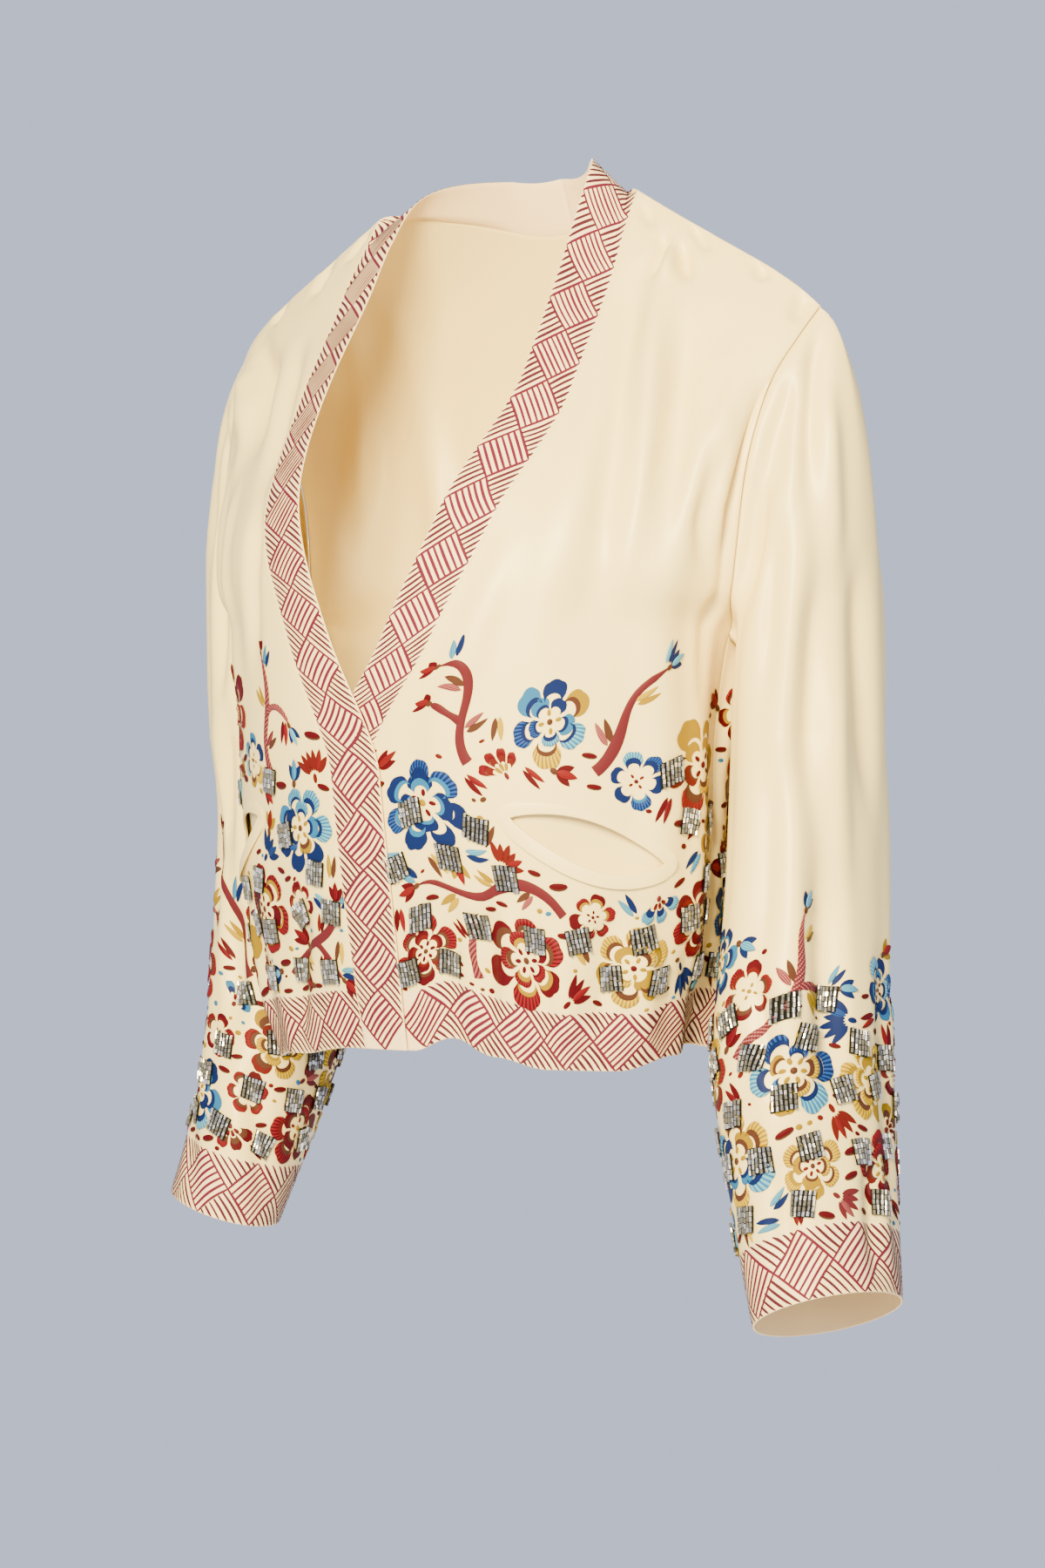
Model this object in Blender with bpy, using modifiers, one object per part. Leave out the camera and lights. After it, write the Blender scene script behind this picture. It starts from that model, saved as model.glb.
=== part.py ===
"""Silk cardigan with a V neck, worn: back, fronts, sleeves, neck bands and bound pockets as cloth walls.

Metres, +Z up. The wearer faces -Y and the wearer's left is +X. The origin is the middle of the neck
opening, level with the neck ends of the shoulder seams, where the wearer's shoulders carry the garment.
"""

import math
from collections import namedtuple

import bpy
import numpy as np

# Cloth and seams
WALL = 0.0012
SEAM_GAP = 0.0003
BAND_WIDTH = 0.034
LAP_LIFT = 0.0024

# Colours of the body, the bands and the pockets
IVORY, ROSE, CREAM = (0.83, 0.75, 0.61), (0.80, 0.58, 0.52), (0.87, 0.80, 0.67)

# Mesh fineness
ROWS_PER_SECTION = 3
FRONT_COLUMNS = 12
NECK_COLUMNS = 5
BAND_COLUMNS = 3
CAP_ROWS = 8
SLEEVE_ROWS_PER_SECTION = 3

# The torso's sections from hem to shoulder seam. Each is half a ring: centre_z and side_z are its
# heights at the centre line and at the side, fall how steeply it drops to the side, front_width and
# back_width its half widths, front_y and back_y its depths at the centre line, side_front and
# side_back its depths at the side. Above the underarm the side is the armhole's edge.
Section = namedtuple(
    "Section", "centre_z side_z fall front_width back_width front_y back_y side_front side_back"
)
SECTIONS = (
    Section(-0.505, -0.505, 2.0, 0.146, 0.146, -0.102, 0.094, 0.010, 0.010),
    Section(-0.455, -0.455, 2.0, 0.159, 0.159, -0.112, 0.093, 0.010, 0.010),
    Section(-0.400, -0.400, 2.0, 0.165, 0.165, -0.122, 0.094, 0.010, 0.010),
    Section(-0.345, -0.345, 2.0, 0.167, 0.167, -0.130, 0.099, 0.010, 0.010),
    Section(-0.265, -0.265, 2.0, 0.166, 0.166, -0.136, 0.110, 0.010, 0.010),
    Section(-0.187, -0.236, 2.0, 0.180, 0.186, -0.122, 0.116, -0.012, 0.046),
    Section(-0.100, -0.168, 1.8, 0.194, 0.200, -0.070, 0.108, -0.018, 0.056),
    Section(-0.022, -0.114, 1.4, 0.205, 0.210, -0.025, 0.085, -0.008, 0.050),
    Section(0.040, -0.086, 1.0, 0.214, 0.216, -0.004, 0.046, 0.006, 0.038),
    Section(0.075, -0.066, 0.8, 0.219, 0.219, 0.008, 0.008, 0.022, 0.022),
)
UNDERARM, SHOULDER = 4, 9
BACK_NECK_PLACE = 7.2
ROUNDNESS = 2.2
SHOULDER_ROUNDING = 0.009

# How far each band's free and sewn edges lie from the centre line at the same sections; the right
# band laps over the left one below the V. free_rise is how far the free edge is raised against the
# neck.
BandEdge = namedtuple("BandEdge", "free sewn free_rise")
LEFT_BAND = (
    BandEdge(-0.0220, 0.0120, 0.0),
    BandEdge(-0.0225, 0.0125, 0.0),
    BandEdge(-0.0235, 0.0120, 0.0),
    BandEdge(-0.0270, 0.0080, 0.0),
    BandEdge(0.0220, 0.0550, 0.0),
    BandEdge(0.0520, 0.0850, 0.0),
    BandEdge(0.0720, 0.1045, 0.0),
    BandEdge(0.0680, 0.1028, 0.0),
    BandEdge(0.0680, 0.1005, 0.003),
    BandEdge(0.0690, 0.0990, 0.005),
)
RIGHT_BAND = (
    BandEdge(-0.0155, 0.0155, 0.0),
    BandEdge(-0.0172, 0.0172, 0.0),
    BandEdge(-0.0180, 0.0180, 0.0),
    BandEdge(-0.0178, 0.0185, 0.0),
    BandEdge(0.0150, 0.0510, 0.0),
    BandEdge(0.0535, 0.0880, 0.0),
    BandEdge(0.0770, 0.1025, 0.0),
    BandEdge(0.0750, 0.1045, 0.0),
    BandEdge(0.0705, 0.0995, -0.003),
    BandEdge(0.0690, 0.0990, -0.006),
)
BAND_BACK_LEAN = 0.38

# The sleeves' sections from the upper arm to the cuff: the ring's middle, its half width across the
# body and half depth front to back, and how much lower its inner and its back edges hang than its
# middle.
SleeveSection = namedtuple("SleeveSection", "x y z half_width half_depth twist inner_drop back_drop")
LEFT_SLEEVE = (
    SleeveSection(0.203, 0.038, -0.320, 0.036, 0.058, 0.0, 0.000, 0.000),
    SleeveSection(0.205, 0.031, -0.400, 0.037, 0.058, 0.0, 0.000, 0.000),
    SleeveSection(0.2083, 0.018, -0.500, 0.045, 0.060, 0.0, 0.004, 0.002),
    SleeveSection(0.2223, 0.010, -0.580, 0.042, 0.057, 0.0, 0.010, 0.005),
    SleeveSection(0.2388, 0.000, -0.651, 0.038, 0.050, 0.0, 0.0155, 0.008),
)
RIGHT_SLEEVE = (
    SleeveSection(-0.200, 0.036, -0.320, 0.036, 0.058, 0.0, 0.000, 0.000),
    SleeveSection(-0.2001, 0.042, -0.400, 0.037, 0.058, 0.0, 0.000, 0.000),
    SleeveSection(-0.2013, 0.038, -0.480, 0.040, 0.059, 10.0, 0.003, -0.001),
    SleeveSection(-0.2065, 0.020, -0.550, 0.038, 0.057, 24.0, 0.006, -0.002),
    SleeveSection(-0.2195, 0.000, -0.6185, 0.034, 0.051, 38.0, 0.010, -0.004),
)

FRONT, BACK = "front", "back"
LEFT, RIGHT = 1, -1

# How far the hem hangs below its section, by face and by angle from the centre line in degrees.
HemPoint = namedtuple("HemPoint", "turn drop")
HEM = {
    FRONT: (
        HemPoint(-90, 0.004),
        HemPoint(-62, 0.012),
        HemPoint(-30, 0.006),
        HemPoint(-8, 0.000),
        HemPoint(6, 0.000),
        HemPoint(15, -0.008),
        HemPoint(27, 0.002),
        HemPoint(40, 0.009),
        HemPoint(60, 0.010),
        HemPoint(78, 0.002),
        HemPoint(90, -0.003),
    ),
    BACK: (
        HemPoint(-90, 0.004),
        HemPoint(-64, 0.006),
        HemPoint(-30, -0.004),
        HemPoint(0, 0.004),
        HemPoint(34, -0.004),
        HemPoint(64, 0.006),
        HemPoint(90, -0.003),
    ),
}
HEM_HANG = 1.8

# The largest folds: where each lies round the torso in degrees, its half width, the sections it
# runs between and its height, positive outward.
Fold = namedtuple("Fold", "face turn half_width low high height")
FOLDS = (
    Fold(FRONT, 90, 16, -1.0, 4.4, -0.006),
    Fold(BACK, 90, 16, -1.0, 4.4, -0.006),
    Fold(FRONT, -90, 16, -1.0, 4.4, -0.006),
    Fold(BACK, -90, 16, -1.0, 4.4, -0.006),
    Fold(FRONT, 68, 9, 1.0, 7.4, 0.005),
    Fold(FRONT, 55, 8, 3.4, 7.8, -0.003),
    Fold(FRONT, 40, 9, 3.2, 8.2, 0.003),
    Fold(FRONT, 17, 6, -1.0, 2.0, -0.004),
    Fold(FRONT, 31, 8, -1.0, 1.8, 0.003),
    Fold(FRONT, -68, 9, 0.0, 7.2, 0.004),
    Fold(FRONT, -52, 8, 3.4, 7.8, -0.003),
    Fold(FRONT, -34, 9, -1.0, 2.4, 0.003),
    Fold(BACK, 30, 10, -1.0, 5.0, 0.005),
    Fold(BACK, 14, 8, -1.0, 4.6, -0.003),
    Fold(BACK, -6, 10, -1.0, 4.2, 0.004),
    Fold(BACK, -34, 10, -1.0, 5.4, 0.005),
    Fold(BACK, -50, 8, -1.0, 4.8, -0.003),
    Fold(BACK, 52, 9, 0.5, 6.0, -0.003),
)

# The sleeves' largest folds: where each lies round the ring in degrees from the inner side through
# the front, its half width, the sections it runs between and its height, positive outward.
SleeveFold = namedtuple("SleeveFold", "angle half_width low high height")
LEFT_SLEEVE_FOLDS = (
    SleeveFold(38, 20, -1.0, 1.8, 0.003),
    SleeveFold(112, 22, 0.4, 3.4, 0.003),
    SleeveFold(150, 18, 0.2, 2.6, -0.003),
    SleeveFold(225, 24, 0.2, 3.0, 0.003),
    SleeveFold(265, 20, 0.6, 2.4, -0.003),
)
RIGHT_SLEEVE_FOLDS = (
    SleeveFold(55, 20, 0.2, 2.2, 0.003),
    SleeveFold(95, 18, 0.2, 2.6, -0.003),
    SleeveFold(135, 22, 0.4, 3.4, 0.003),
    SleeveFold(215, 24, 0.2, 3.0, 0.003),
    SleeveFold(255, 20, 0.6, 2.4, -0.003),
)

# Each front's bound pocket: the panel's row and columns that its slit lies on, how much its ends
# are tilted, how far its lips part upward and downward, how far its lower lip stands out, its
# binding and its bag.
POCKET_ROW = 7
POCKET_FIRST, POCKET_LAST = 4, 9
POCKET_TILT = 0.014
POCKET_OPEN_UP, POCKET_OPEN_DOWN = 0.0125, 0.0180
POCKET_BULGE = 0.005
WELT_WIDTH = 0.0075
WELT_WALL = 0.0010
BAG_ROWS, BAG_COLUMNS = (3, 10), (3, 10)
BAG_DEPTH = 0.008


def between(table, place):
    """The table's row at a fractional place, on a smooth curve through its rows that never swings past them."""
    low = min(int(place), len(table) - 2)
    rows = [np.array(table[min(max(low + k, 0), len(table) - 1)]) for k in (-1, 0, 1, 2)]
    before, here, after = rows[1] - rows[0], rows[2] - rows[1], rows[3] - rows[2]
    start, end = level_slope(before, here), level_slope(here, after)
    t = place - low
    curve = (
        rows[1] * (1 + 2 * t) * (1 - t) ** 2
        + start * t * (1 - t) ** 2
        + rows[2] * t * t * (3 - 2 * t)
        + end * t * t * (t - 1)
    )
    return type(table[0])(*curve)


def level_slope(before, after):
    """The slope at a row between two steps: their harmonic mean, or none where they turn back."""
    same_way = before * after > 0
    total = np.where(same_way, before + after, 1)
    return np.where(same_way, 2 * before * after / total, 0)


def ease(value, start, end):
    """A smooth step from 0 at start to 1 at end."""
    t = min(max((value - start) / (end - start), 0), 1)
    return t * t * (3 - 2 * t)


def hump(value, centre, half_width):
    """A smooth bump of height 1 at the centre that ends at half the width on either side."""
    away = min(abs(value - centre) / half_width, 1)
    return (1 + math.cos(math.pi * away)) / 2


def hem_drop(face, turn):
    degrees = math.degrees(turn)
    points = HEM[face]
    for low, high in zip(points, points[1:]):
        if degrees <= high.turn:
            break
    return low.drop + (high.drop - low.drop) * ease(degrees, low.turn, high.turn)


def fold_height(face, turn, place):
    height = 0.0
    for fold in FOLDS:
        if fold.face == face:
            along = (fold.low + fold.high) / 2
            height += fold.height * hump(math.degrees(turn), fold.turn, fold.half_width) * (
                1 - ease(abs(place - along), 0.5 * (fold.high - along), fold.high - along)
            )
    return height


def torso(face, turn, place):
    """The torso's point at an angle from the centre line, positive to the left, at a section's place."""
    section = between(SECTIONS, place)
    width = section.front_width if face == FRONT else section.back_width
    centre_y = section.front_y if face == FRONT else section.back_y
    side_y = section.side_front if face == FRONT else section.side_back
    across = math.copysign(abs(math.sin(turn)) ** (2 / ROUNDNESS), turn)
    along = abs(math.cos(turn)) ** (2 / ROUNDNESS)
    drop = (section.side_z - section.centre_z) * abs(across) ** section.fall
    tip = SHOULDER_ROUNDING * ease(place, UNDERARM, SHOULDER) * abs(across) ** 14
    hang = hem_drop(face, turn) * (1 - ease(place, 0, HEM_HANG))
    outward = np.array((math.sin(turn) / width, math.cos(turn) / (centre_y - side_y + 1e-9), 0))
    fold = fold_height(face, turn, place) * outward / np.linalg.norm(outward)
    base = (width * across, side_y + (centre_y - side_y) * along, section.centre_z + drop - tip - hang)
    return np.array(base) + fold


def turn_at(place, x):
    """The angle at which the front's section reaches this far from the centre line."""
    share = abs(x) / between(SECTIONS, place).front_width
    return math.copysign(math.asin(min(share ** (ROUNDNESS / 2), 1)), x)


def places():
    return np.linspace(0, SHOULDER, SHOULDER * ROWS_PER_SECTION + 1)


def lapped(point, side, place):
    """A front point, with the wearer's right front lifted clear of the left one where they lap."""
    if side == RIGHT:
        near = 1 - ease(abs(point[0]), 0.030, 0.090)
        point = point - np.array((0, LAP_LIFT * near * (1 - ease(place, 5, 8)), 0))
    return point


def pocket_share(column):
    return (column - POCKET_FIRST) / (POCKET_LAST - POCKET_FIRST)


def pocket_shift(row, column, lip):
    """How far a front's point moves along the surface and outward to make room for the pocket's slit."""
    share = pocket_share(column)
    beside = 1 - ease(max(-share, share - 1), 0.0, 0.45)
    near = max(1 - abs(row - POCKET_ROW) / 3, 0)
    tilt = POCKET_TILT * (1 - 2 * min(max(share, 0), 1)) * beside
    mouth = max(math.sin(math.pi * min(max(share, 0), 1)), 0) ** 0.8
    if lip > 0:
        return near * (tilt + POCKET_OPEN_UP * mouth), 0
    return near * (tilt - POCKET_OPEN_DOWN * mouth), near * POCKET_BULGE * mouth


def front_point(side, band, row, column, lip):
    place = places()[row]
    seam = turn_at(place, between(band, place).sewn)
    turn = seam + (math.pi / 2 - seam) * column / FRONT_COLUMNS
    rise, bulge = pocket_shift(row, column, lip)
    spacing = SECTIONS[3].centre_z - SECTIONS[2].centre_z
    point = torso(FRONT, side * turn, max(place + rise / spacing, 0))
    return lapped(point, side, place) + bulge * np.array((side * math.sin(turn), -math.cos(turn), 0))


def front_grid(side, band, lip):
    """A front's points, row by row from the hem, each row from the band's seam to the side seam or armhole.

    Rows above the pocket's slit follow its upper lip and rows below it the lower lip; lip picks the
    slit's own row.
    """
    grid = []
    for row in range(len(places())):
        lip_here = lip if row == POCKET_ROW else row - POCKET_ROW
        grid.append([front_point(side, band, row, column, lip_here) for column in range(FRONT_COLUMNS + 1)])
    return np.array(grid)


def neck_turn():
    return turn_at(SHOULDER, LEFT_BAND[SHOULDER].sewn)


def neck_place(turn):
    """The place of the back's neckline at this angle: the shoulder seam outside the neck, a dip inside it."""
    share = min(abs(turn) / neck_turn(), 1)
    return SHOULDER - (SHOULDER - BACK_NECK_PLACE) * (1 - share**2)


def back_turns():
    outer = np.linspace(neck_turn(), math.pi / 2, FRONT_COLUMNS + 1)
    inner = np.linspace(-neck_turn(), neck_turn(), 2 * NECK_COLUMNS + 1)
    return np.concatenate([-outer[:0:-1], inner, outer[1:]])


def back_grid():
    """The back's points, row by row from the hem, each row from the wearer's right side to the left."""
    grid = []
    for place in places():
        row = []
        for turn in back_turns():
            squeeze = (neck_place(turn) - UNDERARM) / (SHOULDER - UNDERARM)
            kept = place if place < UNDERARM else UNDERARM + (place - UNDERARM) * squeeze
            row.append(torso(BACK, turn, kept))
        grid.append(row)
    return np.array(grid)


def band_grid(side, band):
    """A band's points by station from the hem to the centre back, each from the sewn to the free edge."""
    grid = []
    shares = np.linspace(0, 1, BAND_COLUMNS + 1)
    for place in places():
        edge = between(band, place)
        sewn, free = turn_at(place, edge.sewn), turn_at(place, edge.free)
        station = []
        for share in shares:
            point = torso(FRONT, side * (sewn + (free - sewn) * share), place)
            station.append(lapped(point, side, place) + np.array((0, 0, edge.free_rise * share)))
        grid.append(station)
    shoulder_reach = grid[-1][-1] - grid[-1][0]
    back_reach = BAND_WIDTH * np.array((BAND_BACK_LEAN, math.sqrt(1 - BAND_BACK_LEAN**2)))
    for step in range(1, NECK_COLUMNS + 1):
        round_neck = step / NECK_COLUMNS
        turn = side * neck_turn() * (1 - round_neck)
        root = torso(BACK, turn, neck_place(turn))
        heading = round_neck * math.pi / 2
        flat = abs(shoulder_reach[0]) + (back_reach[0] - abs(shoulder_reach[0])) * round_neck
        up = shoulder_reach[2] + (back_reach[1] - shoulder_reach[2]) * math.sin(heading)
        reach = np.array((-side * math.cos(heading) * flat, -math.sin(heading) * flat, up))
        grid.append([root + reach * share for share in shares])
    return np.array(grid)


def armhole(side):
    """The armhole's edge, from the underarm up the front to the shoulder seam and down the back."""
    upward = [place for place in places() if place >= UNDERARM]
    front = [torso(FRONT, side * math.pi / 2, place) for place in upward]
    back = [torso(BACK, side * math.pi / 2, place) for place in upward[-2:0:-1]]
    return np.array(front + back)


def sleeve_ring(section, side, count):
    """A sleeve ring's points in the armhole's order: inner, front, outer, back."""
    angles = np.arange(count) * 2 * math.pi / count
    inner, front = np.cos(angles), np.sin(angles)
    across, along = -side * section.half_width * inner, -section.half_depth * front
    cosine, sine = math.cos(math.radians(section.twist)), math.sin(math.radians(section.twist))
    x = section.x + across * cosine - along * sine
    y = section.y + across * sine + along * cosine
    z = section.z - section.inner_drop * inner + section.back_drop * front
    return np.stack([x, y, z], axis=1)


def sleeve_folds(folds, place, count):
    """How far each point of a sleeve's ring stands out or in."""
    heights = np.zeros(count)
    for fold in folds:
        along = (fold.low + fold.high) / 2
        strength = fold.height * (1 - ease(abs(place - along), 0.4 * (fold.high - along), fold.high - along))
        for point in range(count):
            heights[point] += strength * hump(360 * point / count, fold.angle, fold.half_width)
    return heights


def sleeve_grid(table, folds, side):
    """A sleeve's points, ring by ring from the armhole to the cuff."""
    edge = armhole(side)
    first = sleeve_ring(table[0], side, len(edge))
    outward = np.array((side, 0, 0))
    low = (edge[:, 2].max() - edge[:, 2:]) / np.ptp(edge[:, 2])
    start = edge + outward * (SEAM_GAP + WALL / 2 * (0.7 + low))
    reach = np.linalg.norm(first - start, axis=1, keepdims=True)
    lead_out = start + outward * reach * 0.12 + (first - start) * 0.10
    lead_in = first + np.array((0, 0, 1)) * reach * 0.45
    rings = []
    for t in np.linspace(0, 1, CAP_ROWS + 1)[:-1]:
        leaving = (1 - t) ** 3 * start + 3 * t * (1 - t) ** 2 * lead_out
        rings.append(leaving + 3 * t * t * (1 - t) * lead_in + t**3 * first)
    steps = (len(table) - 1) * SLEEVE_ROWS_PER_SECTION
    for place in np.linspace(0, len(table) - 1, steps + 1):
        section = between(table, place)
        ring = sleeve_ring(section, side, len(edge))
        spoke = ring - np.array((section.x, section.y, section.z))
        spoke[:, 2] = 0
        spoke /= np.linalg.norm(spoke, axis=1, keepdims=True)
        rings.append(ring + spoke * sleeve_folds(folds, place, len(edge))[:, None])
    return np.array(rings)


def normals(grid, side):
    """The outward unit normal at each of a front's points."""
    across, along = np.gradient(grid, axis=1), np.gradient(grid, axis=0)
    normal = side * np.cross(across, along)
    return normal / np.linalg.norm(normal, axis=2, keepdims=True)


def drawn_in(grid, last_row=None, first_column=None, last_column=None):
    """The grid with its edge points moved in along the cloth by these lengths."""
    moved = grid.copy()

    def move(edge, inner, length):
        step = inner - edge
        return edge + np.reshape(length, (-1, 1)) * step / np.linalg.norm(step, axis=-1, keepdims=True)

    if first_column is not None:
        moved[:, 0] = move(grid[:, 0], grid[:, 1], first_column)
    if last_column is not None:
        moved[:, -1] = move(grid[:, -1], grid[:, -2], last_column)
    if last_row is not None:
        moved[-1] = move(moved[-1], moved[-2], last_row)
    return moved


def seam_room(edge, inner, other_inner):
    """How far two walls that meet at an edge are drawn in for their corners to stay a seam's gap apart."""
    one, other = inner - edge, other_inner - edge
    lengths = np.linalg.norm(one, axis=-1) * np.linalg.norm(other, axis=-1)
    half = np.maximum(np.arccos(np.clip((one * other).sum(-1) / lengths, -1, 1)) / 2, 0.4)
    return 1.3 * (SEAM_GAP / 2 + WALL / 2 * np.cos(half)) / np.sin(half)


def add_welt(name, collection, colour, side, upper, lower):
    """A pocket's binding: a strip round the slit that lies just outside the front."""
    row, first, last = POCKET_ROW, POCKET_FIRST, POCKET_LAST
    lift = WALL / 2 + 2 * SEAM_GAP + WELT_WALL / 2
    lips = {1: (upper, normals(upper, side)), -1: (lower, normals(lower, side))}
    points, faces, stations = [], [], []

    def outer(lip, column, toward_row, toward_column):
        grid, normal = lips[lip]
        edge = grid[row, column]
        step = grid[row + toward_row, column + toward_column] - edge
        points.append(edge + WELT_WIDTH * step / np.linalg.norm(step) + lift * normal[row, column])
        return len(points) - 1

    def station(lip, column, ways):
        grid, normal = lips[lip]
        points.append(grid[row, column] + lift * normal[row, column])
        inner = len(points) - 1
        stations.append((inner, [outer(lip, column, *way) for way in ways]))

    station(1, first, ((-1, 0), (0, -1), (1, 0)))
    for column in range(first + 1, last):
        station(1, column, ((1, 0),))
    station(1, last, ((1, 0), (0, 1), (-1, 0)))
    for column in range(last - 1, first, -1):
        station(-1, column, ((-1, 0),))
    for (inner, outers), (next_inner, next_outers) in zip(stations, stations[1:] + stations[:1]):
        for one, other in zip(outers, outers[1:]):
            faces.append((inner, one, other)[::side])
        faces.append((inner, outers[-1], next_outers[0], next_inner)[::side])
    add_wall(name, collection, colour, points, faces, WELT_WALL)


def bag_grid(side, band):
    """A pocket's bag: a patch behind the slit, close to the front at its edges and hollow in its middle."""
    grid = []
    for row in range(BAG_ROWS[0], BAG_ROWS[1] + 1):
        place = places()[row]
        seam = turn_at(place, between(band, place).sewn)
        points = []
        for column in range(BAG_COLUMNS[0], BAG_COLUMNS[1] + 1):
            turn = side * (seam + (math.pi / 2 - seam) * column / FRONT_COLUMNS)
            hollow = BAG_DEPTH * hump(row, sum(BAG_ROWS) / 2, (BAG_ROWS[1] - BAG_ROWS[0]) / 2)
            hollow *= hump(column, sum(BAG_COLUMNS) / 2, (BAG_COLUMNS[1] - BAG_COLUMNS[0]) / 2)
            inward = np.array((-math.sin(turn), math.cos(turn), 0))
            points.append(torso(FRONT, turn, place) + (WALL + 2 * SEAM_GAP + hollow) * inward)
        grid.append(points)
    return np.array(grid)


def add_wall(name, collection, colour, points, faces, thickness=WALL):
    """A cloth wall of even thickness about a surface of points and faces."""
    mesh = bpy.data.meshes.new(name)
    mesh.from_pydata([tuple(point) for point in points], [], faces)
    mesh.update()
    material = bpy.data.materials.new(name + "_cloth")
    material.use_nodes = True
    shader = material.node_tree.nodes["Principled BSDF"]
    shader.inputs["Base Color"].default_value = (*colour, 1)
    shader.inputs["Roughness"].default_value = 0.55
    shader.inputs["Sheen Weight"].default_value = 0.3
    mesh.materials.append(material)
    wall = bpy.data.objects.new(name, mesh)
    collection.objects.link(wall)
    shell = wall.modifiers.new("cloth", "SOLIDIFY")
    shell.thickness = thickness
    shell.offset = 0


def grid_faces(rows, columns, closed=False):
    """Faces over a grid of points; closed joins each row's end to its start."""
    faces = []
    for row in range(rows - 1):
        for column in range(columns if closed else columns - 1):
            following = (column + 1) % columns
            a, b = row * columns + column, row * columns + following
            faces.append((a, b, b + columns, a + columns))
    return faces


def add_grid(name, collection, colour, grid, closed=False, thickness=WALL):
    add_wall(name, collection, colour, grid.reshape(-1, 3), grid_faces(*grid.shape[:2], closed), thickness)


def add_front(name, collection, colour, upper, lower):
    """A front whose slit has its own points for its upper lip."""
    rows, columns = lower.shape[:2]
    points = list(lower.reshape(-1, 3))
    lip = {}
    for column in range(POCKET_FIRST + 1, POCKET_LAST):
        lip[POCKET_ROW * columns + column] = len(points)
        points.append(upper[POCKET_ROW, column])
    faces = []
    for number, face in enumerate(grid_faces(rows, columns)):
        if number // (columns - 1) == POCKET_ROW:
            face = tuple(lip.get(corner, corner) for corner in face)
        faces.append(face)
    add_wall(name, collection, colour, points, faces)


def main():
    for old in list(bpy.data.objects):
        bpy.data.objects.remove(old)
    cardigan = bpy.data.collections.new("silk_cardigan")
    bpy.context.scene.collection.children.link(cardigan)
    back = back_grid()
    back_top = np.full(back.shape[1], SEAM_GAP / 2)
    back_beside = {RIGHT: back[:, 1], LEFT: back[:, -2]}
    side_room = {}
    for name, side, band in (("left", LEFT, LEFT_BAND), ("right", RIGHT, RIGHT_BAND)):
        upper, lower = front_grid(side, band, 1), front_grid(side, band, -1)
        strip = band_grid(side, band)
        rows = len(upper)
        shoulder = slice(-FRONT_COLUMNS - 1, None) if side == LEFT else slice(FRONT_COLUMNS, None, -1)
        neck = slice(-FRONT_COLUMNS - 1, -FRONT_COLUMNS - NECK_COLUMNS - 2, -1)
        if side == RIGHT:
            neck = slice(FRONT_COLUMNS, FRONT_COLUMNS + NECK_COLUMNS + 1)
        shoulder_room = seam_room(upper[-1], upper[-2], back[-2, shoulder])
        neck_room = seam_room(strip[rows - 1 :, 0], strip[rows - 1 :, 1], back[-2, neck])
        band_room = seam_room(upper[:, 0], upper[:, 1], strip[:rows, 1])
        side_room[side] = seam_room(upper[:, -1], upper[:, -2], back_beside[side])
        side_room[side][UNDERARM * ROWS_PER_SECTION + 1 :] = SEAM_GAP / 2
        back_top[neck] = neck_room
        back_top[shoulder] = shoulder_room
        edges = {"last_row": shoulder_room, "first_column": band_room, "last_column": side_room[side]}
        upper, lower = drawn_in(upper, **edges), drawn_in(lower, **edges)
        add_front("front_" + name, cardigan, IVORY, upper, lower)
        mirrored = strip[-2] * np.array((-1, 1, 1))
        strip = drawn_in(
            strip,
            last_row=seam_room(strip[-1], strip[-2], mirrored),
            first_column=np.concatenate([band_room, neck_room[1:]]),
        )
        add_grid("band_" + name, cardigan, ROSE, strip)
        add_welt("pocket_welt_" + name, cardigan, CREAM, side, upper, lower)
        add_grid("pocket_bag_" + name, cardigan, CREAM, bag_grid(side, band))
    back = drawn_in(back, last_row=back_top, first_column=side_room[RIGHT], last_column=side_room[LEFT])
    add_grid("back", cardigan, IVORY, back)
    add_grid("sleeve_left", cardigan, IVORY, sleeve_grid(LEFT_SLEEVE, LEFT_SLEEVE_FOLDS, LEFT), closed=True)
    add_grid("sleeve_right", cardigan, IVORY, sleeve_grid(RIGHT_SLEEVE, RIGHT_SLEEVE_FOLDS, RIGHT), closed=True)


main()
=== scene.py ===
"""Looks of the silk cardigan: thin creased cloth on the solids' forms, hatched borders, a floral print
with raised stitching, and squares of sewn bugle beads."""

import math

import bpy
import numpy as np
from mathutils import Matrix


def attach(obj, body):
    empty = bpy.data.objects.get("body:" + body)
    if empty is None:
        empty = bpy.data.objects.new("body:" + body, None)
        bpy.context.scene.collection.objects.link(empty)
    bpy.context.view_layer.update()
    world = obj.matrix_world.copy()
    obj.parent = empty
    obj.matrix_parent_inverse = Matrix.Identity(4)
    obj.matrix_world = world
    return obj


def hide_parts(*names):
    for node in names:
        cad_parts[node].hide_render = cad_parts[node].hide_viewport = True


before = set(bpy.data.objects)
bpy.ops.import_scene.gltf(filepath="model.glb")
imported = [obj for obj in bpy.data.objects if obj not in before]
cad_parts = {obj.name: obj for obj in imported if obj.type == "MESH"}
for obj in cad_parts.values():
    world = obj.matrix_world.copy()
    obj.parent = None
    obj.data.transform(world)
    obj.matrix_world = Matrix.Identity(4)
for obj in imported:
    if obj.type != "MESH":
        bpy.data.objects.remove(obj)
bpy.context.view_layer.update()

FRONT, BACK = "front", "back"
LEFT, RIGHT = 1, -1
SIDES = (("left", LEFT), ("right", RIGHT))
MILLIMETRE = 0.001

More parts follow.
